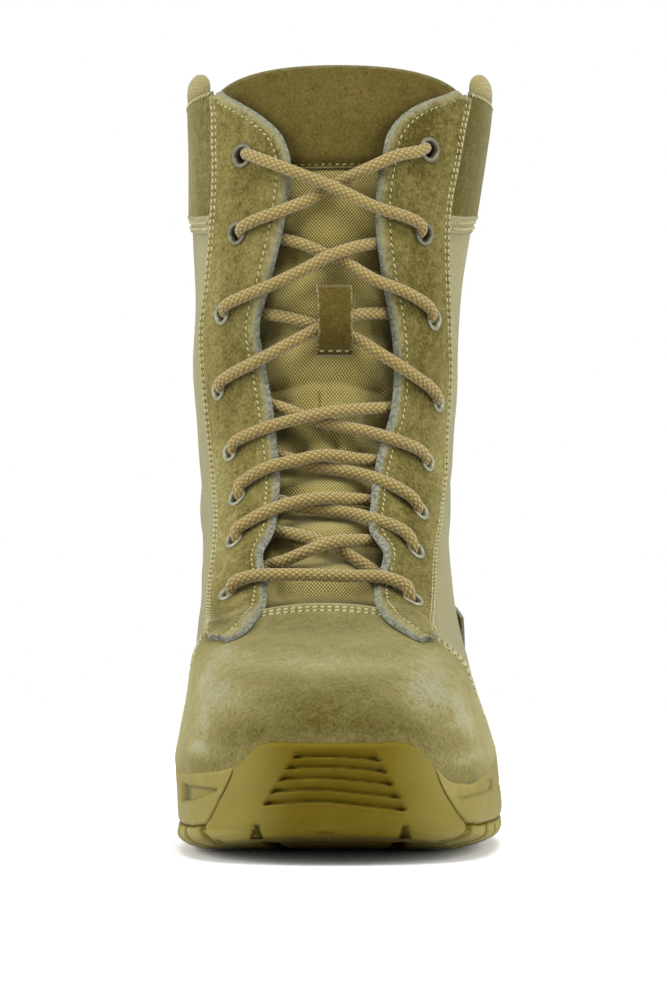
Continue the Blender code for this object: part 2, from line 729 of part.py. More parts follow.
def lace_strand(name, knots):
    """A round strand as a mesh, through knots of (level, arc, lift)."""
    knots = np.array(knots, float)
    places = np.linspace(0, len(knots) - 1, STRAND_POINTS)
    rows = [smooth(range(len(knots)), knots[:, axis], places) for axis in range(3)]
    curve = bpy.data.curves.new(name, "CURVE")
    curve.dimensions = "3D"
    curve.bevel_depth = LACE_RADIUS
    curve.bevel_resolution = 1
    curve.use_fill_caps = True
    spline = curve.splines.new("POLY")
    spline.points.add(STRAND_POINTS - 1)
    for point, (level, arc, lift) in zip(spline.points, zip(*rows)):
        point.co = (*on_last(level, arc, lift), 1)
    holder = bpy.data.objects.new(name, curve)
    CUTTERS.objects.link(holder)
    bpy.context.view_layer.update()
    graph = bpy.context.evaluated_depsgraph_get()
    data = bpy.data.meshes.new_from_object(holder.evaluated_get(graph))
    bpy.data.objects.remove(holder)
    mesh = bmesh.new()
    mesh.from_mesh(data)
    bmesh.ops.remove_doubles(mesh, verts=mesh.verts, dist=0.00001)
    mesh.to_mesh(data)
    mesh.free()
    data.materials.clear()
    return data


def tucked_end(side, level, step):
    """Two knots under a facing's inner edge, the hidden one first."""
    edge = facing_edge(side, "inner", level)
    hidden = (level, edge + side * LACE_TUCK, LACE_UNDER)
    return [hidden, (level + step, edge - side * LACE_PEEP, LACE_UNDER)]


def laid_end(side, level, eyelet, step):
    """Two knots over a facing: beside an eyelet, then at the facing's inner edge."""
    eyelet_level, eyelet_arc = eyelet
    beside = (eyelet_level + step, eyelet_arc - side * LACE_CLEAR, LACE_OVER)
    return [beside, (level, facing_edge(side, "inner", level), LACE_OVER)]


def crossing_knots(row, side, kind):
    """Knots of the strand from the other side's eyelet in a row to this side's in the next."""
    _, drop, rise, up = CROSSINGS[row]
    above, below = eyelet_at(row, -side), eyelet_at(row + 1, side)
    start_level, end_level = above[0] - drop, below[0] + rise
    if row == 1:
        start = laid_end(-side, start_level, above, -0.1)
    else:
        start = tucked_end(-side, start_level, -0.03)
    if row == len(CROSSINGS) - 1:
        end = tucked_end(side, end_level, 0.03)
    else:
        end = laid_end(side, end_level, below, 0.1)
    middle = ((start_level + end_level) / 2 + up, 0.0, CROSSING_LIFTS[kind])
    return start + [middle] + end[::-1]


def make_laces():
    for row in range(1, len(CROSSINGS)):
        top_side = 1 if row == 1 else -1
        name = f"lace_cross_{row}"
        over = lace_strand(f"{name}_over", crossing_knots(row, top_side, "over"))
        under = lace_strand(f"{name}_under", crossing_knots(row, -top_side, "under"))
        crossing = add_object(name, over, "lace cord")
        boolean(crossing, add_object(f"cutter_{name}", under), "UNION")
    knots = []
    for side in (-1, 1):
        level, arc = eyelet_at(len(EYELETS) - 1, side)
        knots.append((level + 0.05, arc - side * LACE_CLEAR, LACE_OVER))
    lifts = (LACE_OVER, BAR_LIFT, LACE_OVER)
    knots[1:1] = [(level, arc * MM, lift) for (level, arc), lift in zip(LACE_BAR, lifts)]
    add_object("lace_bar", lace_strand("lace_bar", knots), "lace cord")


for item in list(bpy.data.objects):
    bpy.data.objects.remove(item)
PARTS = bpy.data.collections.new("Lace-up boot")
CUTTERS = bpy.data.collections.new("Cutters")
bpy.context.scene.collection.children.link(PARTS)
bpy.context.scene.collection.children.link(CUTTERS)

make_sole()
make_insole()
make_upper()
make_tongue()
make_facings()
make_eyelets()
make_collar_panel()
make_collar_roll()
make_heel_counter()
make_lace_keeper()
make_laces()
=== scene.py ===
# %% [markdown]
# # A lace-up boot in suede and nylon, left foot
#
# The imported model is the fixed frame: its solids give every piece its place and its size. This
# lesson dresses them with what a quick solid can't hold: thin layers of suede and woven nylon,
# raw cut edges, rows of stitches, rolled eyelets, a braided lace and moulded rubber.
# We load the frame first. The finished boot may not outgrow it.

import json
import math

import bmesh
import bpy
import numpy as np
from mathutils import Matrix, Vector

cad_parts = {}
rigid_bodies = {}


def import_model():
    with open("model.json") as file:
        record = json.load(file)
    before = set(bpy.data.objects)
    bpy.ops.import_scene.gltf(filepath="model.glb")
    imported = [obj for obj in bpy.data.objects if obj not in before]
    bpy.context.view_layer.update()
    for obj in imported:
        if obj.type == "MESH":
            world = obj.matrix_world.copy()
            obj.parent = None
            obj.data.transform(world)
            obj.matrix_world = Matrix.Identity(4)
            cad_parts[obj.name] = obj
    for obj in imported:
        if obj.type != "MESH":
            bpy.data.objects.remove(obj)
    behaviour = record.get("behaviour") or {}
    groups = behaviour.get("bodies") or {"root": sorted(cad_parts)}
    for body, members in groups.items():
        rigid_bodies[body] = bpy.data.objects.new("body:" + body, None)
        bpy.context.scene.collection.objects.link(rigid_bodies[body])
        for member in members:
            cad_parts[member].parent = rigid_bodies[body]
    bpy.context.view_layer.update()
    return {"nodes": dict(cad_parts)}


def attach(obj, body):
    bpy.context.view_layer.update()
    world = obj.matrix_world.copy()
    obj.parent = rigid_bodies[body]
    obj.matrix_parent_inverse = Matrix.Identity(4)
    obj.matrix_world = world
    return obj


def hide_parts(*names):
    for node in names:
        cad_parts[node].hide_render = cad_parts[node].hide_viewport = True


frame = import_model()
MM = 0.001
print("frame nodes:", len(frame["nodes"]))

# %% [markdown]
# ## The last
#
# A shoemaker stretches every layer over one wooden form, the last. Here the last is a table with
# a row for each level from the feather line, where the upper meets the sole, up to the collar.
# A place on the boot is a level, an arc along the surface from the front line (minus towards the
# medial side, plus towards the lateral side) and a lift off the surface. All layers share it, so
# they lie on one another as real ones do.

# %% The last's tables, in millimetres
# y_front, z_front, y_back, z_back: where the level meets the front and back lines.
# x_centre, half_medial, half_lateral: its middle and its half widths before the rounding.
# front_radius, back_radius: how tightly it turns at its two ends.
# foot_share: how much of the waist's narrowing it takes.
LAST = (
    ("feather", -143, 17, 141, 27, -1.2, 51.0, 51.0, 46, 32, 1.00),
    ("rim", -147.5, 27, 145, 36, -1.4, 55.5, 55.5, 48, 34, 1.00),
    ("wall", -148, 37, 147, 45, -1.8, 53.5, 54.0, 47, 34, 1.00),
    ("toe cap", -143.5, 48, 148, 56, -2.5, 50.3, 51.2, 44, 34, 1.00),
    ("toe top", -131, 59, 147.5, 68, -3.4, 48.7, 49.8, 40, 33, 0.95),
    ("vamp", -107, 67.5, 145.5, 80, -4.2, 50.6, 49.6, 34, 31, 0.90),
    ("throat", -80, 77, 142.5, 92, -4.8, 53.0, 51.0, 29, 30, 0.80),
    ("instep", -58, 90, 139.5, 104, -5.1, 55.7, 52.6, 27, 30, 0.62),
    ("bend", -38, 107, 137, 117, -5.2, 56.0, 53.0, 28, 31, 0.45),
    ("ankle", -20, 126, 135.5, 132, -5.1, 56.3, 55.5, 31, 33, 0.28),
    ("shank", -8, 150, 135, 152, -5.1, 55.7, 55.0, 35, 36, 0.12),
    ("shaft", -2, 180, 135.5, 180, -4.5, 56.1, 55.2, 38, 40, 0.00),
    ("calf", 4, 215, 137.5, 212, -3.2, 59.1, 59.6, 41, 43, 0.00),
    ("collar", 10, 248, 140, 241, -0.8, 62.6, 62.6, 45, 48, 0.00),
    ("top edge", 13, 266, 141, 257, 0.0, 65.1, 65.4, 46, 50, 0.00),
    ("above", 15, 282, 142, 271, 0.0, 65.6, 65.9, 46, 50, 0.00),
)


def read_table(text):
    """A table written as text: a row with its columns' names, then rows of numbers."""
    names, *rows = [line.split() for line in text.strip().splitlines()]
    return [names] + [[float(number) for number in row] for row in rows]


# How far the waist and heel are narrower than the ball: y, then shares of the half width.
WAIST = read_table("""
y medial lateral
-160 0 0.04
-110 0 0.04
-70 0 0.01
-35 0.05 0
0 0.16 0.05
40 0.27 0.16
80 0.28 0.27
115 0.27 0.3
160 0.27 0.3
""")


def smooth(xs, ys, x):
    """A smooth curve through (xs, ys), read at x and held level beyond the ends."""
    xs = np.asarray(xs, float)
    ys = np.asarray(ys, float)
    x = np.clip(np.asarray(x, float), xs[0], xs[-1])
    step = np.diff(xs)
    slope = np.diff(ys) / step
    inner = (slope[:-1] * step[1:] + slope[1:] * step[:-1]) / (step[:-1] + step[1:])
    tangent = np.concatenate([slope[:1], inner, slope[-1:]])
    i = np.clip(np.searchsorted(xs, x, side="right") - 1, 0, len(xs) - 2)
    h = step[i]
    u = (x - xs[i]) / h
    rise = u * u * (3 - 2 * u)
    bend = u * (1 - u) ** 2 * tangent[i] - u * u * (1 - u) * tangent[i + 1]
    return ys[i] * (1 - rise) + ys[i + 1] * rise + h * bend


def column(table, name, x):
    """One named column of a table whose first row names them, read at x of its first column."""
    place = table[0].index(name)
    return smooth([row[0] for row in table[1:]], [row[place] for row in table[1:]], x)


def step_up(low, high, x):
    """0 below low, 1 above high, and a soft rise between them."""
    share = np.clip((np.asarray(x, float) - low) / (high - low), 0, 1)
    return share * share * (3 - 2 * share)


def hump(x, half_width):
    """A soft bell, 1 at x = 0 and close to 0 past twice its half width."""
    return np.exp(-((np.asarray(x, float) / half_width) ** 2))


def unit(vectors):
    """The same directions with length 1."""
    return vectors / np.linalg.norm(vectors, axis=1, keepdims=True)


def reaches(line):
    """How far each point of a line lies along it from its first point."""
    return np.concatenate([[0], np.cumsum(np.linalg.norm(np.diff(line, axis=0), axis=1))])


def beside_line(place, start, end):
    """How far places lie along a straight line, as a share of it, and how far off it."""
    start = np.array(start, float)
    run = np.array(end, float) - start
    along = ((place - start) @ run) / (run @ run)
    off = place - start - np.clip(along, 0, 1)[..., None] * run
    return along, np.linalg.norm(off, axis=-1)


def even_rounds(share):
    """Shares from 0 to 1 that lie closer together towards both ends."""
    return (1 - np.cos(math.pi * share)) / 2


print("levels of the last:", len(LAST), "rows of the waist:", len(WAIST) - 1)

# %% [markdown]
# The surface of the last is worked out once, on a fine chart of levels and arcs, with the
# direction that points out of the boot at each place. Reading a place is then two lookups, which
# is fast enough for hundreds of thousands of vertices.

# %% A chart of the last
SIDE_NAMES = {-1: "medial", 1: "lateral"}
LEVEL_STEP = 0.05
ARC_STEP = 0.5 * MM
ARC_REACH = 720 * MM
OUTLINE_POINTS = 361
OUTLINE_POWER = 4.0


def half_width(run, length, half, front_radius, back_radius):
    """Half width along an outline that is round at both ends and reaches half between them."""
    front = np.sqrt(2 * front_radius * length * run)
    back = np.sqrt(2 * back_radius * length * (1 - run))
    parts = [np.maximum(part, 1e-9) ** -OUTLINE_POWER for part in (half + 0 * run, front, back)]
    return sum(parts) ** (-1 / OUTLINE_POWER)


def kept_width(y, side, share):
    """The share of the half width that the waist leaves at y on one side."""
    return 1 - share * column(WAIST, SIDE_NAMES[side], y)


def loop_at(level):
    """(arcs, points) once round the last at a level, from the back line past the medial side."""
    levels = range(len(LAST))
    values = [smooth(levels, [row[place] for row in LAST], level) for place in range(1, 11)]
    y_front, z_front, y_back, z_back, x_centre, half_medial, half_lateral = values[:7]
    front_radius, back_radius, share = values[7:]
    run = even_rounds(np.linspace(0, 1, OUTLINE_POINTS))
    y = y_front + (y_back - y_front) * run
    z = z_front + (z_back - z_front) * run
    length = math.hypot(y_back - y_front, z_back - z_front)
    sides = []
    for side, half in ((-1, half_medial), (1, half_lateral)):
        kept = half * kept_width(y, side, share)
        width = half_width(run, length, kept, front_radius, back_radius)
        sides.append(np.stack([x_centre + side * width, y, z], axis=1) * MM)
    points = np.concatenate([sides[0][:0:-1], sides[1]])
    arcs = reaches(points)
    return arcs - arcs[len(run) - 1], points


level_axis = np.arange(0, len(LAST) - 1 + LEVEL_STEP / 2, LEVEL_STEP)
arc_axis = np.arange(-ARC_REACH, ARC_REACH + ARC_STEP / 2, ARC_STEP)
chart_rows = []
half_girths = []
for level in level_axis:
    arcs, points = loop_at(level)
    wrapped = (arc_axis - arcs[0]) % (arcs[-1] - arcs[0]) + arcs[0]
    axes = [np.interp(wrapped, arcs, points[:, axis]) for axis in range(3)]
    chart_rows.append(np.stack(axes, axis=1))
    half_girths.append((-arcs[0], arcs[-1]))
CHART = np.array(chart_rows)
HALF_GIRTHS = np.array(half_girths)
chart_across = np.roll(CHART, -3, axis=1) - np.roll(CHART, 3, axis=1)
chart_along = np.gradient(CHART, axis=0)
CHART_OUT = np.cross(chart_across, chart_along)
CHART_OUT /= np.linalg.norm(CHART_OUT, axis=2, keepdims=True)
chart_rise = np.linalg.norm(np.diff(CHART, axis=0), axis=2)
CHART_RISE = np.concatenate([0 * chart_rise[:1], np.cumsum(chart_rise, axis=0)])


def read_chart(chart, level, arc):
    """A chart read between its points, at arrays of levels and arcs."""
    i = np.clip(np.asarray(level, float) / LEVEL_STEP, 0, len(level_axis) - 1.001)
    j = np.clip((np.asarray(arc, float) + ARC_REACH) / ARC_STEP, 0, len(arc_axis) - 1.001)
    i, j = np.broadcast_arrays(i, j)
    i0 = i.astype(int)
    j0 = j.astype(int)
    a = i - i0
    b = j - j0
    if chart.ndim == 3:
        a = a[..., None]
        b = b[..., None]
    low = chart[i0, j0] * (1 - b) + chart[i0, j0 + 1] * b
    high = chart[i0 + 1, j0] * (1 - b) + chart[i0 + 1, j0 + 1] * b
    return low * (1 - a) + high * a


def on_last(level, arc, lift=0.0):
    """Points at levels and arcs, lifted off the last, outwards if positive."""
    out = read_chart(CHART_OUT, level, arc)
    return read_chart(CHART, level, arc) + np.asarray(lift, float)[..., None] * out


def girths(level):
    """Half girths at levels: from the front line to the back line, medial and lateral."""
    return [np.interp(level, level_axis, HALF_GIRTHS[:, place]) for place in (0, 1)]


def wrapped_arc(level, arc):
    """The same place with its arc between the back line's two arcs."""
    medial, lateral = girths(level)
    return (arc + medial) % (medial + lateral) - medial


ankle_girth = float(sum(girths(9.0)))
print("last charted:", CHART.shape, "girth at the ankle (mm):", round(ankle_girth / MM))

# %% [markdown]
# ## Creases and dents
#
# Suede and nylon that have stood on a shelf are never quite smooth. Each row here is one soft
# trough or ridge: where its two ends are, how wide it is and how deep, with a plus for a ridge.
# Every layer of the upper reads the same rows, so the layers stay together.

# %% Creases, in levels and millimetres
CREASES = read_table("""
level arc to_level to_arc half_width height
9.75 62 8.55 92 7 -1.2
9.1 66 7.95 98 6 0.9
8.6 60 7.2 90 7 -1.1
10.6 66 10.1 96 8 0.8
9.6 -62 8.6 -94 7 -1.3
9 -64 8.05 -96 6 0.9
8.4 -60 7.3 -92 7 -1.1
10.9 -62 10.4 -94 8 0.9
11.6 -70 11.3 -104 9 -0.9
11.7 70 11.4 108 9 -0.8
6 52 5.1 84 6 -0.8
5.7 -60 4.9 -88 6 -0.8
8.9 104 8.3 140 7 -0.9
9.4 106 9.1 142 7 0.8
8.8 -106 8.2 -140 7 -0.9
9.5 -108 9 -142 7 0.8
5.05 -24 4.95 26 6 0.5
4.55 -34 4.6 30 7 -0.5
3.9 -16 3.8 20 9 0.4
4.3 44 3.6 66 6 -0.5
4.4 -44 3.7 -64 6 -0.5
""")
LEVEL_HEIGHT = 18.0  # millimetres from one level to the next, near enough for soft folds


def folds(table, level, arc, soft_ends=False):
    """How far a table's folds lift a surface at levels and arcs, in metres."""
    place = np.stack([arc / MM, level * LEVEL_HEIGHT], axis=-1)
    total = np.zeros(np.shape(level))
    for from_level, from_arc, to_level, to_arc, half_width, height in table[1:]:
        start, end = (from_arc, from_level * LEVEL_HEIGHT), (to_arc, to_level * LEVEL_HEIGHT)
        along, away = beside_line(place, start, end)
        fold = height * hump(away, half_width)
        if soft_ends:
            fold = fold * step_up(-0.5, 0.3, along) * step_up(-0.5, 0.3, 1 - along)
        total += fold
    return total * MM


def relief(level, arc):
    """How far the creases lift the upper at levels and arcs."""
    level, arc = np.broadcast_arrays(np.asarray(level, float), np.asarray(arc, float))
    return folds(CREASES, level, wrapped_arc(level, arc), soft_ends=True)


print("creases:", len(CREASES) - 1)

# %% [markdown]
# ## A sheet that follows the last
#
# Every layer starts as a flat grid from Blender's own operator. A function then says at which
# level, arc and lift each of its vertices lies. The grid keeps a UV map in metres of cloth, so a
# weave stays square on the surface, and an attribute with the distance to its nearest cut edge.

# %% Sheets and rings
BODY = "root"
NO_EDGE = 0.02  # metres to a cut edge where a piece has none near


def finish_piece(obj, materials, stands_for=()):
    """Materials, smooth shading, body and the frame nodes that the piece stands for."""
    obj.data.materials.clear()
    for material in materials:
        obj.data.materials.append(material)
    obj.data.polygons.foreach_set("use_smooth", np.ones(len(obj.data.polygons), bool))
    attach(obj, BODY)
    if stands_for:
        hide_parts(*stands_for)
    return obj


def object_from(name, mesh):
    """A new object from a bmesh, which is freed."""
    data = bpy.data.meshes.new(name)
    mesh.to_mesh(data)
    mesh.free()
    obj = bpy.data.objects.new(name, data)
    bpy.context.scene.collection.objects.link(obj)
    return obj


def grid_object(name, columns, rows, shape, closed=False):
    """A grid whose corner coordinates u and v run from 0 to 1, moved by shape(u, v) to points.

    shape gives points, and may give a UV place and an edge distance with them. closed welds the
    last column to the first.
    """
    mesh = bmesh.new()
    bmesh.ops.create_grid(mesh, x_segments=columns, y_segments=rows, size=0.5)
    flat = np.array([vertex.co for vertex in mesh.verts])[:, :2] + 0.5
    shaped = shape(flat[:, 0], flat[:, 1])
    points, places, edge = shaped if isinstance(shaped, tuple) else (shaped, flat, None)
    layer = mesh.loops.layers.uv.new("Cloth")
    for face in mesh.faces:
        for loop in face.loops:
            loop[layer].uv = places[loop.vert.index]
    if edge is not None:
        store = mesh.verts.layers.float.new("edge")
        for vertex in mesh.verts:
            vertex[store] = edge[vertex.index]
    for vertex, point in zip(mesh.verts, points):
        vertex.co = point
    if closed:
        bmesh.ops.remove_doubles(mesh, verts=mesh.verts, dist=0.02 * MM)
    return object_from(name, mesh)


def sheet_object(name, columns, rows, chart, creased=True):
    """A sheet off the last: chart(u, v) gives level, arc, lift and the distance to a cut edge."""

    def shape(u, v):
        level, arc, lift, edge = chart(u, v)
        cloth = np.stack([arc, read_chart(CHART_RISE, level, arc)], axis=1)
        if creased:
            lift = lift + relief(level, arc)
        return on_last(level, arc, lift), cloth, edge

    return grid_object(name, columns, rows, shape)


def grid_places(columns, rows):
    """The corner coordinates u and v of a grid's vertices, in their order."""
    u, v = np.meshgrid(np.linspace(0, 1, columns + 1), np.linspace(0, 1, rows + 1))
    return u.ravel(), v.ravel()


def mark_points(obj, masks):
    """Attributes of a piece, with one value for each of its vertices."""
    for name, values in masks.items():
        store = obj.data.attributes.new(name, "FLOAT", "POINT")
        store.data.foreach_set("value", np.asarray(values, np.float32))


def give_wall(obj, thickness, outwards=True, rim=0, inside=0, round_edge=0.0):
    """A wall for an open sheet, with its own materials on the cut rim and on the far face."""
    wall = obj.modifiers.new("Wall", "SOLIDIFY")
    wall.thickness = thickness
    wall.offset = 1.0 if outwards else -1.0
    wall.material_offset = inside
    wall.material_offset_rim = rim
    wall.use_even_offset = False
    if round_edge:
        edge = obj.modifiers.new("Rounded edge", "BEVEL")
        edge.width = round_edge
        edge.segments = 2
        edge.limit_method = "ANGLE"
        edge.angle_limit = math.radians(50)
        edge.use_clamp_overlap = True
    return obj


print("helpers ready")

# %% [markdown]
# ## Finishes shared by several pieces
#
# Real finishes repeat over a boot: the nap of the suede, the weave of the nylon and the dust of
# the rubber. Each is a node group with named sockets that gives colours, masks or heights, and
# every material places it with its own values. The shader itself stays in the material.

# %% Helpers for nodes
def add_node(tree, kind, inputs=(), **settings):
    """A node with its settings; inputs are (socket name or number, value or output)."""
    made = tree.nodes.new(kind)
    for name, value in settings.items():
        setattr(made, name, value)
    for place, value in inputs:
        if isinstance(value, bpy.types.NodeSocket):
            tree.links.new(value, made.inputs[place])
        else:
            made.inputs[place].default_value = value
    return made


def maths(tree, operation, *values, clamp=False):
    """The output of a Math node."""
    pairs = list(enumerate(values))
    return add_node(tree, "ShaderNodeMath", pairs, operation=operation, use_clamp=clamp).outputs[0]


def plus(tree, first, second, clamp=False):
    return maths(tree, "ADD", first, second, clamp=clamp)


def minus(tree, first, second, clamp=False):
    return maths(tree, "SUBTRACT", first, second, clamp=clamp)


def times(tree, first, second, clamp=False):
    return maths(tree, "MULTIPLY", first, second, clamp=clamp)


def weighted(tree, *pairs, centre=0.0):
    """The sum of outputs times their weights, each measured from a centre."""
    total = None
    for value, weight in pairs:
        part = times(tree, minus(tree, value, centre) if centre else value, weight)
        total = part if total is None else plus(tree, total, part)
    return total


def noise(tree, vector, scale, detail=2.0, roughness=0.5):
    """The value of a Noise texture, near 0.5 on average."""
    pairs = [("Vector", vector), ("Scale", scale), ("Detail", detail), ("Roughness", roughness)]
    return add_node(tree, "ShaderNodeTexNoise", pairs).outputs["Fac"]


def blend_colour(tree, share, first, second):
    """The colour between two colours at a share."""
    pairs = [(0, share), (6, first), (7, second)]
    return add_node(tree, "ShaderNodeMix", pairs, data_type="RGBA").outputs[2]


def ramp_between(tree, value, low, high):
    """A value mapped from low..high to 0..1 with soft ends."""
    pairs = [("Value", value), ("From Min", low), ("From Max", high)]
    return add_node(tree, "ShaderNodeMapRange", pairs, interpolation_type="SMOOTHSTEP").outputs[0]


def new_group(name, inputs, outputs):
    """An empty node group with named sockets, its input node and its output node."""
    tree = bpy.data.node_groups.new(name, "ShaderNodeTree")
    for direction, rows in (("INPUT", inputs), ("OUTPUT", outputs)):
        for socket_name, socket_type, value in rows:
            socket = tree.interface.new_socket(
                socket_name, in_out=direction, socket_type="NodeSocket" + socket_type
            )
            if value is not None:
                socket.default_value = value
    return tree, tree.nodes.new("NodeGroupInput"), tree.nodes.new("NodeGroupOutput")


def new_material(name, roughness, specular=0.5, **constants):
    """A material with a plain shader, whose constants are set on its own sockets."""
    material = bpy.data.materials.new(name)
    material.use_nodes = True
    tree = material.node_tree
    shader = tree.nodes["Principled BSDF"]
    shader.inputs["Roughness"].default_value = roughness
    shader.inputs["Specular IOR Level"].default_value = specular
    for socket, value in constants.items():
        shader.inputs[socket.replace("_", " ")].default_value = value
    return material, tree, shader


def use_group(tree, group, inputs):
    """A node group placed in a material, fed by its named sockets."""
    return add_node(tree, "ShaderNodeGroup", inputs, node_tree=group)


def wire(tree, shader, **outputs):
    """Outputs wired to the shader's own sockets."""
    for socket, output in outputs.items():
        tree.links.new(output, shader.inputs[socket.replace("_", " ")])


def hand_out(tree, made, **outputs):
    """Outputs wired to a group's output sockets."""
    for socket, output in outputs.items():
        tree.links.new(output, made.inputs[socket])


def dimmed(colour, share):
    """A share of a colour, opaque."""
    return tuple(share * value for value in colour[:3]) + (1,)


def bump(tree, shader, height, strength, distance):
    """A bump from a height in shares of a distance, wired to the shader."""
    pairs = [("Strength", strength), ("Distance", distance), ("Height", height)]
    made = add_node(tree, "ShaderNodeBump", pairs)
    tree.links.new(made.outputs["Normal"], shader.inputs["Normal"])


def object_place(tree):
    """Places in metres in the boot's own frame."""
    return tree.nodes.new("ShaderNodeTexCoord").outputs["Object"]


def uv_place(tree):
    """Places in metres of cloth, or in braid turns on the lace."""
    return add_node(tree, "ShaderNodeUVMap", uv_map="Cloth").outputs["UV"]


def attribute(tree, name):
    """A piece's own mask or measure at each point."""
    return add_node(tree, "ShaderNodeAttribute", attribute_name=name).outputs["Fac"]


print("node helpers ready")

# %% [markdown]
# ### Suede
#
# Suede is the split side of the hide, brushed into a nap. The nap lies this way or that, so broad
# patches look light or dark, and single fibres catch the light at a shallow angle. Five sizes of
# noise give the patches, the brush marks, the spots, the fibres and their grain; the shader's
# sheen adds a pale glow at grazing angles. Where the nap runs light, its colour is also blended
# towards a pale grey: the nap's own dusty bloom, and a painted sheen over the patches that are
# painted light. An attribute on the piece adds listed light and dark patches, partly the nap's own
# variation and mostly painted light and shade.

# %% Suede group and materials
DUSTY_NAP_AND_SHEEN = (0.206, 0.216, 0.184, 1)
PALE_FLECK = (0.34, 0.31, 0.17, 1)
DARK_PIT = (0.030, 0.022, 0.004, 1)
NAP_MIDDLE = 0.42
BLOOM_START = 0.22


def make_nap_group():
    """The colour and the height of brushed suede at places in metres."""
    tree, given, made = new_group(
        "Suede nap",
        (
            ("Vector", "Vector", None),
            ("Tone", "Float", 0.0),
            ("Dark", "Color", (0.10, 0.08, 0.02, 1)),
            ("Light", "Color", (0.4, 0.35, 0.18, 1)),
            ("Contrast", "Float", 1.0),
        ),
        (("Color", "Color", None), ("Height", "Float", None)),
    )
    vector = given.outputs["Vector"]
    stretch = [("Vector", vector), ("Scale", (1.0, 1.0, 0.38))]
    brushed = add_node(tree, "ShaderNodeMapping", stretch).outputs[0]
    broad = noise(tree, vector, 17.0, 3.0, 0.55)
    marks = noise(tree, brushed, 95.0, 4.0, 0.62)
    spots = noise(tree, vector, 290.0, 3.0, 0.6)
    fibres = noise(tree, vector, 950.0, 2.0, 0.7)
    grain = noise(tree, vector, 2400.0, 1.0, 0.5)
    sizes = ((broad, 0.60), (marks, 0.45), (spots, 0.70), (fibres, 1.00))
    total = times(tree, weighted(tree, *sizes, centre=0.5), given.outputs["Contrast"])
    total = plus(tree, total, given.outputs["Tone"])
    share = plus(tree, total, NAP_MIDDLE, clamp=True)
    colour = blend_colour(tree, share, given.outputs["Dark"], given.outputs["Light"])
    # Pale grey where the nap runs light: dusty nap, and painted sheen over the patches painted
    # light.
    bloom = times(tree, minus(tree, total, BLOOM_START, clamp=True), 1.6, clamp=True)
    colour = blend_colour(tree, bloom, colour, DUSTY_NAP_AND_SHEEN)
    fleck = times(tree, ramp_between(tree, grain, 0.60, 0.74), 0.20)
    colour = blend_colour(tree, fleck, colour, PALE_FLECK)
    pit = times(tree, ramp_between(tree, fibres, 0.42, 0.28), 0.35)
    colour = blend_colour(tree, pit, colour, DARK_PIT)
    height = weighted(tree, (fibres, 0.7), (grain, 0.4), (spots, 0.5))
    hand_out(tree, made, Color=colour, Height=height)
    return tree


NAP = make_nap_group()
FRAYED_NAP = (0.31, 0.29, 0.17, 1)
RAW_DARK = (0.040, 0.042, 0.030, 1)
RAW_PALE = (0.205, 0.210, 0.160, 1)


def make_suede(name, dark, light, contrast, edge_pale=0.35):
    """Suede between two colours, paler and a little frayed towards its cut edges."""
    material, tree, shader = new_material(
        name,
        roughness=0.95,
        specular=0.06,
        Sheen_Weight=0.30,
        Sheen_Roughness=0.36,
        Sheen_Tint=(0.80, 0.77, 0.46, 1),
    )
    place = object_place(tree)
    tone = attribute(tree, "tone")
    sockets = [("Vector", place), ("Tone", tone), ("Dark", dark), ("Light", light)]
    nap = use_group(tree, NAP, sockets + [("Contrast", contrast)])
    ragged = times(tree, noise(tree, place, 620.0, 3.0, 0.7), 2.6 * MM)
    from_edge = minus(tree, attribute(tree, "edge"), ragged)
    frayed = times(tree, ramp_between(tree, from_edge, 0.2 * MM, -0.9 * MM), edge_pale)
    colour = blend_colour(tree, frayed, nap.outputs["Color"], FRAYED_NAP)
    torn = noise(tree, place, 800.0, 3.0, 0.7)
    ragged_raw = plus(tree, attribute(tree, "raw"), times(tree, minus(tree, torn, 0.5), 1.5))
    raw_colour = blend_colour(tree, ramp_between(tree, torn, 0.24, 0.74), RAW_DARK, RAW_PALE)
    colour = blend_colour(tree, ramp_between(tree, ragged_raw, 0.35, 0.65), colour, raw_colour)
    wire(tree, shader, Base_Color=colour)
    bump(tree, shader, nap.outputs["Height"], 0.55, 0.35 * MM)
    return material


SUEDE = make_suede("Suede", (0.050, 0.039, 0.006, 1), (0.212, 0.182, 0.062, 1), contrast=1.12)
SUEDE_VAMP = make_suede(
    "Suede of the vamp", (0.056, 0.044, 0.007, 1), (0.198, 0.178, 0.072, 1), contrast=0.66
)
SUEDE_KEEPER = make_suede(
    "Suede of the keeper", (0.036, 0.026, 0.003, 1), (0.090, 0.066, 0.012, 1),
    contrast=0.9, edge_pale=0.7,
)
SUEDE_TONGUE = make_suede(
    "Suede of the tongue", (0.040, 0.029, 0.004, 1), (0.112, 0.086, 0.021, 1),
    contrast=0.8, edge_pale=0.2,
)
print("suede:", SUEDE.name, SUEDE_TONGUE.name)

# %% [markdown]
# ### Cut edges
#
# Where suede is cut and left raw, the middle of the hide shows: grey-blue, fibrous and a little
# torn. It is the material of every rim of the facings and overlays.

# %% Cut edge
TANNED_PATCH = (0.120, 0.105, 0.050, 1)


def make_cut_edge():
    """The raw middle of the hide."""
    material, tree, shader = new_material("Cut edge", 0.98, specular=0.1, Sheen_Weight=0.3)
    place = object_place(tree)
    fibres = noise(tree, place, 1100.0, 3.0, 0.7)
    patches = noise(tree, place, 190.0, 2.0, 0.5)
    colour = blend_colour(tree, ramp_between(tree, fibres, 0.24, 0.76), RAW_DARK, RAW_PALE)
    colour = blend_colour(tree, ramp_between(tree, patches, 0.46, 0.68), colour, TANNED_PATCH)
    wire(tree, shader, Base_Color=colour)
    bump(tree, shader, fibres, 0.8, 0.5 * MM)
    return material


CUT_EDGE = make_cut_edge()
print("cut edge ready")
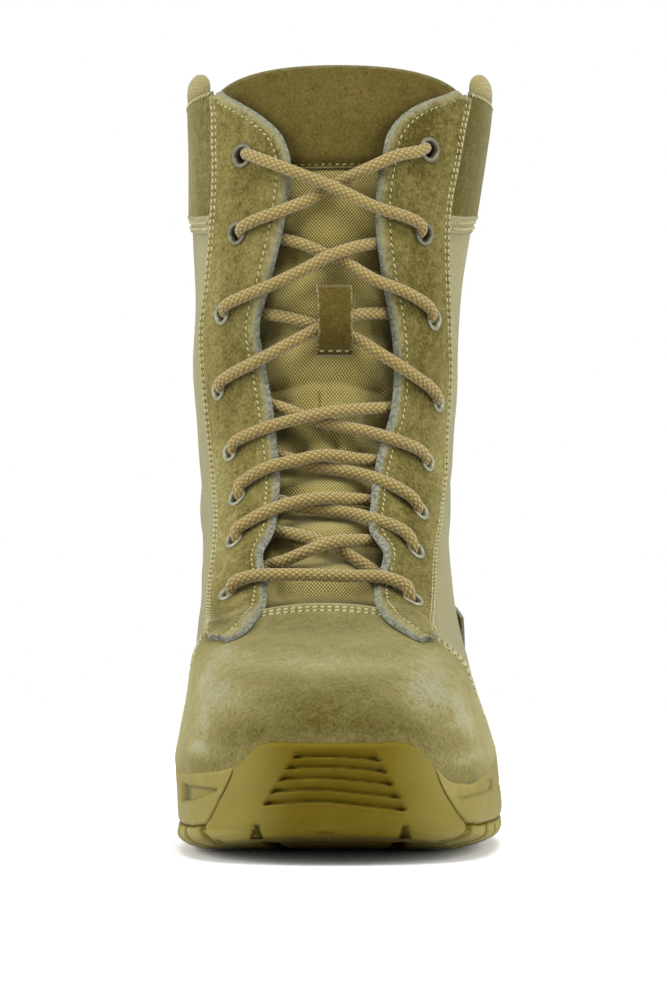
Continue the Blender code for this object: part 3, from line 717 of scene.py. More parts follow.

# %% [markdown]
# ### Woven nylon
#
# The quarters and the tongue are coarse woven nylon: warp and weft pass over and under each other
# in a plain weave. The group turns a place in metres of cloth into the height of the threads and
# a mask of the gaps between them, which the materials darken as painted shade. The lace's braid is
# the same weave turned by half a right angle.

# %% Weave group and nylon materials
THREAD_ROUNDNESS = 0.45


def make_weave_group():
    """Threads that pass over and under each other, at places in metres of cloth."""
    tree, given, made = new_group(
        "Plain weave",
        (("Vector", "Vector", None), ("Pitch", "Float", 1.0)),
        (("Height", "Float", None), ("Hollow", "Float", None), ("Thread", "Float", None)),
    )
    parts = add_node(tree, "ShaderNodeSeparateXYZ", [(0, given.outputs["Vector"])])
    waves = []
    for axis in ("X", "Y"):
        turned = maths(tree, "DIVIDE", parts.outputs[axis], given.outputs["Pitch"])
        waves.append(maths(tree, "SINE", times(tree, turned, math.pi)))
    over = maths(tree, "GREATER_THAN", times(tree, waves[0], waves[1]), 0.0)
    across, along = [maths(tree, "ABSOLUTE", wave) for wave in waves]
    warp = times(tree, across, maths(tree, "POWER", along, THREAD_ROUNDNESS))
    weft = times(tree, along, maths(tree, "POWER", across, THREAD_ROUNDNESS))
    lower = times(tree, minus(tree, 1.0, over), weft)
    height = plus(tree, times(tree, over, warp), lower)
    hollow = ramp_between(tree, height, 0.42, 0.08)
    hand_out(tree, made, Height=height, Hollow=hollow, Thread=over)
    return tree


WEAVE = make_weave_group()


def make_nylon(name, dark, light, pitch, depth, hollow_share, checker):
    """Woven nylon between two colours, with a pitch in metres between its threads."""
    material, tree, shader = new_material(
        name,
        roughness=0.78,
        specular=0.15,
        Sheen_Weight=0.25,
        Sheen_Roughness=0.5,
        Sheen_Tint=(0.86, 0.84, 0.68, 1),
    )
    place = object_place(tree)
    cloth = uv_place(tree)
    drift = noise(tree, place, 70.0, 2.0, 0.5)
    drifts = [(0, times(tree, drift, 0.9 * MM)), (1, times(tree, drift, 0.7 * MM))]
    shift = add_node(tree, "ShaderNodeCombineXYZ", drifts).outputs[0]
    shifted = [(0, cloth), (1, shift)]
    moved = add_node(tree, "ShaderNodeVectorMath", shifted, operation="ADD").outputs[0]
    weave = use_group(tree, WEAVE, [("Vector", moved), ("Pitch", pitch)])
    broad = noise(tree, place, 30.0, 3.0, 0.55)
    slub = noise(tree, place, 420.0, 2.0, 0.6)
    share = weighted(tree, (broad, 0.7), (slub, 0.45))
    share = plus(tree, share, times(tree, minus(tree, weave.outputs["Thread"], 0.5), checker))
    share = plus(tree, share, attribute(tree, "tone"), clamp=True)
    colour = blend_colour(tree, share, dark, light)
    # Painted shade in the gaps between the threads.
    hollow = times(tree, weave.outputs["Hollow"], hollow_share)
    colour = blend_colour(tree, hollow, colour, dimmed(dark, 0.38))
    wire(tree, shader, Base_Color=colour)
    bump(tree, shader, weave.outputs["Height"], 0.8, depth)
    return material


NYLON = make_nylon(
    "Nylon of the quarters", (0.140, 0.126, 0.048, 1), (0.275, 0.252, 0.122, 1),
    pitch=0.90 * MM, depth=0.25 * MM, hollow_share=0.60, checker=0.60,
)
# Its light colour stands well above the quarters' nylon: partly its own paler cloth, partly painted
# light that makes up for the shade deep in the throat.
NYLON_TONGUE = make_nylon(
    "Nylon of the tongue", (0.090, 0.068, 0.013, 1), (0.400, 0.335, 0.096, 1),
    pitch=0.68 * MM, depth=0.28 * MM, hollow_share=0.75, checker=0.90,
)
LINING = make_nylon(
    "Lining", (0.150, 0.122, 0.038, 1), (0.250, 0.215, 0.086, 1),
    pitch=1.3 * MM, depth=0.25 * MM, hollow_share=0.4, checker=0.3,
)
print("nylon:", NYLON.name, NYLON_TONGUE.name, LINING.name)

# %% [markdown]
# ### Rubber, painted metal, lace and thread
#
# The rubber is moulded with a faint matt texture, holds a little dust at random and is rubbed
# paler on its corners. Its hollows, grooves and notches are darkened as painted shade, and the
# outsole is paler towards its sides as painted side light. The eyelets are painted brass, worn on
# their rolled rims. The lace and the thread are polyester: the lace's braid follows the UV map
# that runs along it.

# %% Rubber group and the two rubbers
RUBBER_DUST = (0.27, 0.24, 0.12, 1)


def make_rubber_group():
    """The colour, height and roughness of moulded rubber at places in metres."""
    tree, given, made = new_group(
        "Moulded rubber",
        (
            ("Vector", "Vector", None),
            ("Deep", "Color", (0.1, 0.08, 0.01, 1)),
            ("Worn", "Color", (0.3, 0.25, 0.08, 1)),
            ("Dust", "Float", 0.0),
        ),
        (("Color", "Color", None), ("Height", "Float", None), ("Roughness", "Float", None)),
    )
    vector = given.outputs["Vector"]
    broad = noise(tree, vector, 26.0, 3.0, 0.55)
    smear = noise(tree, vector, 140.0, 4.0, 0.65)
    speck = noise(tree, vector, 1500.0, 2.0, 0.6)
    share = minus(tree, weighted(tree, (broad, 0.6), (smear, 0.5)), 0.22, clamp=True)
    colour = blend_colour(tree, share, given.outputs["Deep"], given.outputs["Worn"])
    dusty = times(tree, ramp_between(tree, smear, 0.45, 0.7), given.outputs["Dust"])
    colour = blend_colour(tree, dusty, colour, RUBBER_DUST)
    height = weighted(tree, (speck, 0.6), (smear, 0.6))
    roughness = plus(tree, 0.46, times(tree, smear, 0.22))
    hand_out(tree, made, Color=colour, Height=height, Roughness=roughness)
    return tree


MOULDED = make_rubber_group()
PALE_SCUFF_AND_SIDE_LIGHT = (0.205, 0.178, 0.050, 1)


def make_rubber(name, deep, worn, dust):
    """Moulded rubber whose painted shade, painted side light, scuffs and worn places follow the
    piece's own attributes.
    """
    material, tree, shader = new_material(name, roughness=0.6, specular=0.06)
    place = object_place(tree)
    sockets = [("Vector", place), ("Deep", deep), ("Worn", worn), ("Dust", dust)]
    skin = use_group(tree, MOULDED, sockets)
    # Paler on the flanks as painted side light, and on the low corner lugs as scuffs with painted
    # side light.
    scuff_and_side_light = times(tree, attribute(tree, "scuff_and_side_light"), 0.9, clamp=True)
    colour = blend_colour(tree, scuff_and_side_light, skin.outputs["Color"], PALE_SCUFF_AND_SIDE_LIGHT)
    # Painted shade from the piece's masks: in hollows, grooves and under the tread, then in the
    # toe's notches.
    hollow = times(tree, attribute(tree, "hollow"), 0.80, clamp=True)
    colour = blend_colour(tree, hollow, colour, dimmed(deep, 0.22))
    notch_shade = times(tree, ramp_between(tree, attribute(tree, "notch_shade"), 0.46, 0.56), 0.85)
    colour = blend_colour(tree, notch_shade, colour, dimmed(deep, 0.30))
    rubbed = times(tree, attribute(tree, "worn"), 0.5, clamp=True)
    colour = blend_colour(tree, rubbed, colour, worn)
    wire(tree, shader, Base_Color=colour, Roughness=skin.outputs["Roughness"])
    bump(tree, shader, skin.outputs["Height"], 0.35, 0.2 * MM)
    return material


OUTSOLE_RUBBER = make_rubber(
    "Outsole rubber", (0.073, 0.050, 0.001, 1), (0.122, 0.091, 0.004, 1), dust=0.02
)
MIDSOLE_RUBBER = make_rubber(
    "Midsole rubber", (0.140, 0.116, 0.028, 1), (0.206, 0.176, 0.056, 1), dust=0.14
)
print("rubber:", OUTSOLE_RUBBER.name, MIDSOLE_RUBBER.name)

# %% Metal, lace, thread and the painted shade of needle holes
def make_metal():
    """Painted brass, rubbed pale towards the foot of the row of eyelets."""
    material, tree, shader = new_material("Eyelet paint", roughness=0.42, Metallic=0.35)
    place = object_place(tree)
    chips = noise(tree, place, 900.0, 3.0, 0.6)
    haze = noise(tree, place, 160.0, 2.0, 0.5)
    colour = blend_colour(tree, haze, (0.060, 0.054, 0.028, 1), (0.115, 0.105, 0.062, 1))
    height = add_node(tree, "ShaderNodeSeparateXYZ", [(0, place)]).outputs["Z"]
    rubbed = times(tree, ramp_between(tree, height, 205 * MM, 175 * MM), 0.75)
    colour = blend_colour(tree, rubbed, colour, (0.230, 0.235, 0.155, 1))
    chipped = ramp_between(tree, chips, 0.60, 0.70)
    colour = blend_colour(tree, chipped, colour, (0.20, 0.19, 0.13, 1))
    roughness = plus(tree, 0.28, times(tree, chips, 0.4))
    wire(tree, shader, Base_Color=colour, Roughness=roughness)
    bump(tree, shader, chips, 0.25, 0.1 * MM)
    return material


def make_lace_material():
    """A round braid, with a painted highlight on the crowns of its threads and painted shade in the
    gaps between them.
    """
    material, tree, shader = new_material(
        "Lace", roughness=0.7, specular=0.3, Sheen_Weight=0.25, Sheen_Roughness=0.4
    )
    braid = use_group(tree, WEAVE, [("Vector", uv_place(tree)), ("Pitch", 1.0)])
    crown = maths(tree, "POWER", braid.outputs["Height"], 3.0)
    place = object_place(tree)
    drift = noise(tree, place, 120.0, 3.0, 0.6)
    fibre = noise(tree, place, 1500.0, 2.0, 0.6)
    share = weighted(tree, (drift, 0.6), (fibre, 0.3))
    colour = blend_colour(tree, share, (0.146, 0.102, 0.024, 1), (0.224, 0.164, 0.045, 1))
    # Painted highlight on the crowns of the braid, then painted shade in its gaps.
    colour = blend_colour(tree, times(tree, crown, 0.80), colour, (0.325, 0.252, 0.094, 1))
    hollow = times(tree, braid.outputs["Hollow"], 0.30)
    colour = blend_colour(tree, hollow, colour, (0.070, 0.045, 0.008, 1))
    wire(tree, shader, Base_Color=colour)
    height = plus(tree, braid.outputs["Height"], times(tree, fibre, 0.12))
    bump(tree, shader, height, 0.8, 0.42 * MM)
    return material


def make_thread():
    """Cream polyester thread."""
    material, tree, shader = new_material("Thread", roughness=0.62, specular=0.35, Sheen_Weight=0.2)
    place = object_place(tree)
    drift = noise(tree, place, 330.0, 2.0, 0.5)
    colour = blend_colour(tree, drift, (0.200, 0.175, 0.070, 1), (0.400, 0.370, 0.190, 1))
    wire(tree, shader, Base_Color=colour)
    bump(tree, shader, noise(tree, place, 2600.0, 2.0, 0.5), 0.5, 0.2 * MM)
    return material


def make_needle_hole_shade():
    """Painted shade of a pierced needle hole, on a small dark disc."""
    material, tree, shader = new_material("Needle hole shade", roughness=0.95, specular=0.05)
    share = noise(tree, object_place(tree), 500.0, 2.0, 0.5)
    colour = blend_colour(tree, share, (0.022, 0.017, 0.004, 1), (0.055, 0.044, 0.012, 1))
    wire(tree, shader, Base_Color=colour)
    return material


METAL = make_metal()
LACE = make_lace_material()
THREAD = make_thread()
NEEDLE_HOLE_SHADE = make_needle_hole_shade()
print("metal, lace and thread ready")

# %% [markdown]
# ## The sole
#
# A trainer-like sole of two rubbers: a deep tan outsole whose toe wraps up as a bumper, and a paler
# midsole above it along the sides. Both come from one outline that we chart as rings from the
# tread up to the rim; a side profile says where one rubber ends and the other begins. The wall,
# the tread and the hidden top are grids, welded along their shared edges into closed shells.

# %% The sole's tables, in millimetres
SOLE = read_table("""
rise y_front y_back x_centre half_medial half_lateral front_radius back_radius
0 -146.6 141.6 -2.2 45.5 43 44 35
0.05 -148.7 145.2 -1.9 50.8 49.2 46 37
0.12 -150 147.5 -1.6 54.7 56 47 38
0.34 -151 150.5 -1.3 55.8 59 48 39
0.7 -151.3 151.3 -1.4 56.5 58.4 48 39
1 -150.3 150.2 -1.6 57 57.6 48 39
""")
SOLE_HEIGHTS = read_table("""
y tread rim_medial rim_lateral
-152 11.2 40 40
-144.5 9.6 39 39
-140 8.7 33 33
-136 7.9 31.2 28.2
-128 6.4 30 25.8
-110 3.7 28.8 27.4
-90 1.4 28 30.5
-66 0 28.4 31.7
-40 0 29.4 32
20 0 31.5 33.5
80 0 34.5 35.5
132 0 37 37
144 0.9 37.5 37.5
152 2.6 38 38
""")
PARTING = read_table("""
y medial lateral
-152 60 60
-142.5 48 46
-139.5 33 31
-134 20.5 18.5
-129 13.8 13.6
-122 11.6 12
-108 10.6 11.6
-60 9.8 10.4
170 10.6 10.6
""")
ARCH = read_table("""
y height
-13 0
-8 1
0 2.4
12 4.6
28 6
45 6.2
49 3
52 0
""")
FOREFOOT_GROOVES = (-126, 16.4, 7)
HEEL_GROOVES = (69, 18, 4)
GROOVE_SWEEP = 8 / 75
GROOVE_HALF_WIDTH = 2.2
GROOVE_DEPTH = 4.0
TOE_NOTCHES = (-27.4, 21.3)
TOE_NOTCH_TOP = 13.1
TOE_NOTCH_TOP_HALF = 0.7
TOE_NOTCH_SPREAD = 0.28
TOE_NOTCH_DEPTH = 3.0
TOE_NOTCH_BACK = -136
CHANNELS = (
    ((-23, -165), (-26, -140), (-21, -110), (-16, -70), (-14, -35), (-13, -14)),
    ((19, -165), (21, -140), (19, -110), (17, -70), (15, -35), (14, -14)),
    ((-12, 49), (-12, 100), (-15, 160)),
    ((9, 49), (9, 100), (12, 160)),
)
CHANNEL_FRONT = (-124, -134)
CHANNEL_FADE = 4
SOLE_RUNS = 300
TREAD_SHADE = 0.5


def outline(run, rise, side):
    """x, y in millimetres at a run from toe (0) to heel (1), at a share of the wall's height."""
    y_front, y_back, x_centre, medial, lateral, front_radius, back_radius = [
        column(SOLE, name, rise) for name in SOLE[0][1:]
    ]
    half = np.where(side > 0, lateral, medial)
    y = y_front + (y_back - y_front) * run
    kept = np.where(side > 0, kept_width(y, 1, 1.0), kept_width(y, -1, 1.0))
    width = half_width(run, y_back - y_front, half * kept, front_radius, back_radius)
    return x_centre + side * width, y


def plain_tread(y):
    """Height of the ground side of the sole in millimetres, before its arch and grooves."""
    return np.maximum(column(SOLE_HEIGHTS, "tread", y), 0)


def tread_height(x, y):
    """Height of the tread in millimetres: toe spring, arch, cross grooves and long channels."""
    base = plain_tread(y) + column(ARCH, "height", y)
    away = np.full(np.shape(y), 99.0)
    for first, pitch, count in (FOREFOOT_GROOVES, HEEL_GROOVES):
        for i in range(count):
            away = np.minimum(away, np.abs(y - GROOVE_SWEEP * np.abs(x) - first - pitch * i))
    place = np.stack([x, y], axis=-1)
    fading = CHANNEL_FADE * step_up(*CHANNEL_FRONT, y)
    for path in CHANNELS:
        for start, end in zip(path, path[1:]):
            away = np.minimum(away, beside_line(place, start, end)[1] + fading)
    groove = 1 - step_up(GROOVE_HALF_WIDTH - 0.7, GROOVE_HALF_WIDTH + 0.5, away)
    return base + GROOVE_DEPTH * groove, groove


def rounded_foot(x, y):
    """Height of the wall's rounded foot over spots that lie outside its lowest outline."""
    side = np.where(x > column(SOLE, "x_centre", 0), 1.0, -1.0)
    front, back = column(SOLE, "y_front", 0), column(SOLE, "y_back", 0)
    run = np.clip((y - front) / (back - front), 0, 1)
    rise = np.zeros(np.shape(x))
    for (low, *_), (high, *_) in zip(SOLE[1:3], SOLE[2:4]):
        inner, outer = (outline(run, 0 * run + row, side)[0] * side for row in (low, high))
        rise += (high - low) * np.clip((x * side - inner) / np.maximum(outer - inner, 0.01), 0, 1)
    plain = plain_tread(y)
    return plain + rise * (column(SOLE_HEIGHTS, "rim_medial", y) - plain)


def notch_at(x, y, z):
    """Millimetres inside the nearest of the toe's two notches, negative outside them."""
    off = np.minimum(np.abs(x - TOE_NOTCHES[0]), np.abs(x - TOE_NOTCHES[1]))
    below = TOE_NOTCH_TOP - z
    inside = np.minimum(TOE_NOTCH_TOP_HALF + TOE_NOTCH_SPREAD * below - off, below)
    return np.where(y < TOE_NOTCH_BACK, inside, -9.0)


def notch_mask(spots):
    """The notches as a mask whose middle value is their outline, for spots in millimetres."""
    return np.clip(0.5 + notch_at(spots[..., 0], spots[..., 1], spots[..., 2]) / 3, 0, 1)


print("sole tables ready")

# %% [markdown]
# The bumper carries a fan of five slats between two slanting ends, and each slat leans in towards
# its foot, where it leaves a pocket. The midsole's front pods carry a small wedge-shaped window on
# the medial side and a thin rib on the lateral side. These are heights pressed into the wall along
# its outward direction; the darkening in the pockets, the window, the slot, the grooves and under
# the rib is painted shade, kept in a mask that the rubber darkens.

# %% The mouldings of the wall
SLATS = read_table("""
x line_1 line_2 line_3 line_4 line_5
-26 33.2 30.2 26.8 23.2 19.2
-15 34.8 31.5 28 24.2 20.3
-4 35.2 31.8 28.2 24.4 20.6
8 34.4 31 27.1 23.1 19.3
22 32.4 28.9 25.2 21.4 17.4
""")
SLAT_TOP = 38.2
SLAT_DEPTH, SLAT_LEAN, SLAT_LIP = 2.3, 1.3, 0.35
SLAT_ENDS = read_table("""
z medial lateral
17 -26.2 21.6
20 -24.7 20.2
35 -15.4 12.4
38.2 -13.6 10.6
""")
BUMPER_BACK = -112
SIDE_LINE = read_table("""
y height
-60 20.5
20 22.5
80 25
152 27.5
""")
SIDE_LINE_DEPTH = 0.55
WINDOW = read_table("""
x top foot
-53.5 24.3 18
-50.6 24.3 18.9
-41 24 23.4
-39.8 23.8 23.8
""")
WINDOW_DEPTH = 1.7
POD_BACK = -90
POD_INNER = 36
RIB_HEIGHT = 0.55
RIB_START, RIB_END = (37.0, 41.0), (50.4, 49.4)
RIB_RISE = (38, 21.9, 0.16)
RIB_SHADOW_RISE = (38, 20.7, 0.13)
SLOT_X, SLOT_DEPTH = 50.6, 1.4
SLOT_FOOT, SLOT_TOP = (21.2, 21.9), (25.6, 24.9)


def wall_mould(x, y, z, side):
    """Millimetres outwards, and the mask of painted shade in the hollows of the wall's mouldings.
    """
    push = np.zeros(np.shape(x))
    hollow = np.zeros(np.shape(x))
    lines = [SLAT_TOP + 0 * x] + [column(SLATS, name, x) for name in SLATS[0][1:]]
    medial = column(SLAT_ENDS, "medial", z)
    lateral = column(SLAT_ENDS, "lateral", z)
    inside = step_up(-0.35, 0.35, x - medial) * step_up(-0.35, 0.35, lateral - x)
    inside = inside * (y < BUMPER_BACK)
    corners = np.clip(hump(x - medial, 2.4) + hump(x - lateral, 2.4), 0, 1)
    for high, low in zip(lines, lines[1:]):
        share = np.clip((high - z) / (high - low), 0, 1)
        within = (z <= high) & (z > low)
        lean = share**SLAT_LEAN * (1 - step_up(0.90, 1.0, share))
        push = np.where(within, -SLAT_DEPTH * lean * inside, push)
        dark = 0.9 * step_up(0.45, 0.95, share) * corners + 0.30 * step_up(0.55, 0.95, share)
        hollow = np.where(within, dark * inside, hollow)
        push = push + hump(z - low + 0.35, 0.45) * inside * SLAT_LIP

    window = (side < 0) & (y < POD_BACK) & (x < WINDOW[-1][0])
    below_top = column(WINDOW, "top", x) - z
    above_foot = z - column(WINDOW, "foot", x)
    sunk = step_up(-0.25, 0.35, below_top) * step_up(-0.25, 0.35, above_foot)
    sunk = sunk * step_up(-53.2, -52.4, x) * window
    push = push - WINDOW_DEPTH * sunk
    hollow = hollow + 0.85 * sunk * np.clip(hump(below_top, 0.9) + hump(x + 52.2, 1.4), 0, 1)

    pod = (side > 0) & (y < POD_BACK) & (x > POD_INNER)
    ends = step_up(*RIB_START, x) * step_up(*RIB_END, x) * pod
    ridge, under = [
        hump(z - (height + (x - start) * slope), half) * ends
        for (start, height, slope), half in ((RIB_RISE, 0.55), (RIB_SHADOW_RISE, 0.45))
    ]
    slot = hump(x - SLOT_X, 0.55) * step_up(*SLOT_FOOT, z) * step_up(*SLOT_TOP, z) * pod
    line = hump(z - column(SIDE_LINE, "height", y), 0.55) * step_up(-72, -60, y)
    notches = step_up(-0.5, 0.4, notch_at(x, y, z))
    push = push + RIB_HEIGHT * ridge - 0.35 * under - SIDE_LINE_DEPTH * line
    push = push - TOE_NOTCH_DEPTH * notches - SLOT_DEPTH * slot
    hollow = hollow + 0.35 * line + 0.4 * under + 0.9 * slot
    return push, np.clip(hollow, 0, 1)


def parting_at(y, side):
    """Height in millimetres where the outsole ends and the midsole begins."""
    return np.where(side > 0, column(PARTING, "lateral", y), column(PARTING, "medial", y))


def rim_at(y, side):
    """Height in millimetres of the sole's rim."""
    medial, lateral = [column(SOLE_HEIGHTS, f"rim_{name}", y) for name in SIDE_NAMES.values()]
    return np.where(side > 0, lateral, medial)


RIM_ROLL = 1.1
RIM_DRAW = 0.9
JOINT_DEPTH, JOINT_HALF_WIDTH = 0.8, 0.55
LOW_LUGS = 8.5
LUG_DEPTH = 0.9
LUG_FRONT = (-138, -122)
RUN_STEP = 0.004


def wall_points(run, side, share, part):
    """Wall points of the outsole or the midsole: share runs from its foot to its top."""
    x_low, y_low = outline(run, 0 * run, side)
    y_mid = outline(run, 0 * run + 0.5, side)[1]
    rim = rim_at(y_mid, side)
    tread, groove = tread_height(x_low, y_low)
    plain = plain_tread(y_mid)
    tread = plain + (tread - plain_tread(y_low))
    parting = np.minimum(parting_at(y_mid, side), rim)
    foot, top = (tread, parting) if part == "outsole" else (parting, rim)
    z = foot + (top - foot) * share
    rise = np.clip((z - plain) / (rim - plain), 0, 1)
    x, y = outline(run, rise, side)
    ahead = np.array(outline(np.clip(run + RUN_STEP, 0, 1), rise, side))
    behind = np.array(outline(np.clip(run - RUN_STEP, 0, 1), rise, side))
    along = ahead - behind
    out = np.stack([side * along[1], -side * along[0]])
    out /= np.maximum(np.linalg.norm(out, axis=0), 1e-9)
    out[0] *= step_up(0, 0.002, run) * step_up(0, 0.002, 1 - run)
    push, hollow = wall_mould(x, y, z, side)
    below_rim = rim - z
    push = push - RIM_DRAW * (1 - step_up(0, RIM_ROLL, below_rim)) ** 2
    from_joint = z - parting_at(y_mid, side)
    two_rubbers = parting_at(y_mid, side) < rim - 0.2
    push = push - JOINT_DEPTH * hump(from_joint, JOINT_HALF_WIDTH) * two_rubbers
    # The joint between the two rubbers is a dark seam line, with painted shade in its groove.
    hollow = np.clip(hollow + 0.75 * hump(from_joint, 0.38) * two_rubbers, 0, 1)
    if part == "outsole":
        lug = groove * step_up(LOW_LUGS + 0.6, LOW_LUGS - 0.6, z - plain) * step_up(*LUG_FRONT, y)
        push = push - LUG_DEPTH * lug
        # Painted shade in the low lug grooves.
        hollow = np.clip(hollow + 0.30 * lug, 0, 1)
    worn = hump(below_rim - 0.8, 0.9) * 0.8
    return np.stack([x + push * out[0], y + push * out[1], z], axis=-1) * MM, hollow, worn


print("slats:", len(SLATS[0]) - 1)

# %% Build the outsole and the midsole
def round_places(u):
    """Run and side for a place u once round the sole: lateral toe to heel, then back."""
    turn = np.clip(u, 0, 1) * 2
    side = np.where(turn <= 1, 1.0, -1.0)
    half = np.where(turn <= 1, turn, 2 - turn)
    return even_rounds(half), side


def cap_grid(name, edge_points, height, columns):
    """A grid between the two sides of a ring, at a height given for its points."""

    def shape(u, v):
        run = even_rounds(v)
        lateral = edge_points(run, np.ones_like(run))
        medial = edge_points(run, -np.ones_like(run))
        points = medial + (lateral - medial) * u[:, None]
        inner = (u > 1e-6) & (u < 1 - 1e-6)
        points[:, 2] = np.where(inner, height(points, u, run), points[:, 2])
        return points

    return grid_object(name, columns, SOLE_RUNS, shape)


def joined_shell(name, parts, weld=0.03 * MM):
    """Objects joined into one closed shell, welded where their edges meet, faces outwards."""
    mesh = bmesh.new()
    for part in parts:
        mesh.from_mesh(part.data)
        bpy.data.objects.remove(part)
    bmesh.ops.remove_doubles(mesh, verts=mesh.verts, dist=weld)
    bmesh.ops.dissolve_degenerate(mesh, edges=mesh.edges, dist=0.005 * MM)
    bmesh.ops.recalc_face_normals(mesh, faces=mesh.faces)
    return object_from(name, mesh)


# Shares of the pale blend: the low corner lugs are scuffed and painted with side light, the flanks
# are painted side light.
SCUFFED_AND_SIDE_LIT_LUGS = 0.9
SIDE_LIT_FLANKS = 0.54


def scuff_and_side_light_at(spots):
    """The pale share of the outsole at spots in millimetres: scuffs and painted side light on its
    low corner lugs, painted side light on its flanks.
    """
    aside = np.abs(spots[:, 0])
    low = step_up(15.0, 9.0, spots[:, 2]) * step_up(20, 36, aside)
    return np.maximum(SCUFFED_AND_SIDE_LIT_LUGS * low, SIDE_LIT_FLANKS * step_up(13, 36, aside))


ROOF_COLUMNS = 12
# Hidden faces: a least height in millimetres, and a least distance above the deepest groove.
MIDSOLE_FOOT = (10.0, 1.9)
OUTSOLE_ROOF = (9.6, 1.5)
MIDSOLE_ROOF = (15.5, 3.0)


def make_sole_part(name, part, rows, foot_columns):
    """One rubber of the sole: its wall, its underside and its hidden top."""
    masks = {}

    def wall(u, v):
        run, side = round_places(u)
        points, hollow, worn = wall_points(run, side, v, part)
        masks["hollow"], masks["worn"] = hollow, worn
        masks["scuff_and_side_light"] = scuff_and_side_light_at(points / MM) * (part == "outsole") * step_up(0.3, 0.0, hollow)
        masks["notch_shade"] = notch_mask(points / MM) * (part == "outsole")
        return points

    wall_grid = grid_object(name + "_wall", 2 * SOLE_RUNS, rows, wall)
    mark_points(wall_grid, masks)

    def foot_edge(run, side):
        return wall_points(run, side, 0 * run, part)[0]

    def top_edge(run, side):
        return wall_points(run, side, 0 * run + 1, part)[0]

    def tread(points, u, run):
        x, y = points[:, 0] / MM, points[:, 1] / MM
        return np.maximum(tread_height(x, y)[0], rounded_foot(x, y)) * MM

    def sunk_to(least, above_tread):
        """A hidden face that drops from the wall's edge to a height clear of the deepest groove."""

        def height(points, u, run):
            y = points[:, 1] / MM
            plain = plain_tread(y) + column(ARCH, "height", y)
            clear = np.maximum(least, plain + GROOVE_DEPTH + above_tread) * MM
            sink = step_up(0.0, 0.06, np.minimum(u, 1 - u))
            sink = sink * step_up(0.004, 0.02, np.minimum(run, 1 - run))
            return points[:, 2] * (1 - sink) + np.minimum(points[:, 2], clear) * sink

        return height

    foot_height = tread if part == "outsole" else sunk_to(*MIDSOLE_FOOT)
    roof_height = sunk_to(*(OUTSOLE_ROOF if part == "outsole" else MIDSOLE_ROOF))
    foot = cap_grid(name + "_foot", foot_edge, foot_height, foot_columns)
    if part == "outsole":
        spots = np.array([vertex.co for vertex in foot.data.vertices]) / MM
        in_groove = tread_height(spots[:, 0], spots[:, 1])[1]
        column_of = np.arange(len(spots)) % (foot_columns + 1)
        inner = (column_of > 0) & (column_of < foot_columns)
        shade = (TREAD_SHADE + (1 - TREAD_SHADE) * in_groove) * inner
        mark_points(foot, {"hollow": shade, "worn": 0 * shade})
        mark_points(foot, {"scuff_and_side_light": scuff_and_side_light_at(spots), "notch_shade": notch_mask(spots)})
    roof = cap_grid(name + "_roof", top_edge, roof_height, ROOF_COLUMNS)
    return joined_shell(name, [wall_grid, foot, roof])


outsole = make_sole_part("rubber_outsole", "outsole", rows=60, foot_columns=80)
finish_piece(outsole, [OUTSOLE_RUBBER], ["outsole"])
midsole = make_sole_part("rubber_midsole", "midsole", rows=32, foot_columns=12)
finish_piece(midsole, [MIDSOLE_RUBBER], ["midsole"])
for piece in (outsole, midsole):
    print(piece.name, "faces:", len(piece.data.polygons))

# %% [markdown]
# ## The upper shell
#
# The boot's body is a shell of nylon with a lining inside: two quarters that meet at the back and
# run round to the edges of the throat. Its open front is hidden under the vamp and the facings.
# It is one sheet from one throat edge round the heel to the other, with a wall of real thickness.

# %% The throat, the vamp's top line and the facings, in levels and millimetres
UPPER_WALL = 2.4 * MM
COLLAR_LEVEL = 14.1
OVER_VAMP_RISE = 1.45 * MM
EYELETS = (
    ("row", "medial_level", "medial", "lateral_level", "lateral", "radius"),
    (1, 12.80, 35.2, 12.88, 34.4, 4.6),
    (2, 11.97, 35.2, 11.97, 35.2, 4.4),
    (3, 11.15, 41.6, 11.10, 42.3, 4.1),
    (4, 10.27, 43.2, 10.12, 47.0, 3.9),
    (5, 9.38, 37.0, 9.22, 41.2, 3.8),
    (6, 8.58, 34.2, 8.31, 38.3, 3.8),
    (7, 7.74, 36.0, 7.52, 36.0, 3.8),
    (8, 6.52, 39.3, 6.37, 34.0, 3.9),
)
FACINGS = read_table("""
level medial_inner medial_outer lateral_inner lateral_outer
5.1 40.5 50.5 37 42.5
5.22 36 52.8 33.5 44.2
5.4 31.8 53.8 29.8 44.8
5.75 28 55 24 46
6.1 25.5 55.5 21 47.5
6.75 23 55 19.5 49.5
7.5 23.5 51.5 22 51.5
8 19.5 50 17.5 55
8.5 18.5 50.5 18 57.5
9.25 18.5 52 20.5 58.5
10 21 55 26 59.5
10.5 24 57.5 27 59
11 26.5 58.5 25.5 56
11.5 22.5 54 21.5 52
12.3 18 51 17.5 49
12.75 18.5 51.5 18.5 51
13 22 52.5 19.5 52
13.3 29.5 53 24 53
13.65 39.5 53.5 33.5 54.5
13.88 46.5 54 43 55.2
14.02 50 54 48.5 55.5
""")
VAMP_TOP = read_table("""
arc level
-134 0.8
-118 2.2
-100 3.3
-84 4.1
-66.5 4.85
-59 5.3
-50 5.6
-40 5.8
-20 6.26
0 6.43
20 6.25
40 5.72
45.5 5.32
52 5.05
60.5 4.7
69 4.4
77 4.05
92 3.3
110 2.2
124 0.8
""")


def level_gap(low, high, arc):
    """Metres along the surface between two levels at an arc."""
    return read_chart(CHART_RISE, high, arc) - read_chart(CHART_RISE, low, arc)


def over_vamp(level, arc):
    """1 where a layer lies on the vamp, 0 past its top line."""
    arc = wrapped_arc(level, arc)
    top = column(VAMP_TOP, "level", arc / MM)
    return step_up(-5.0 * MM, 4.0 * MM, level_gap(level, top, arc))


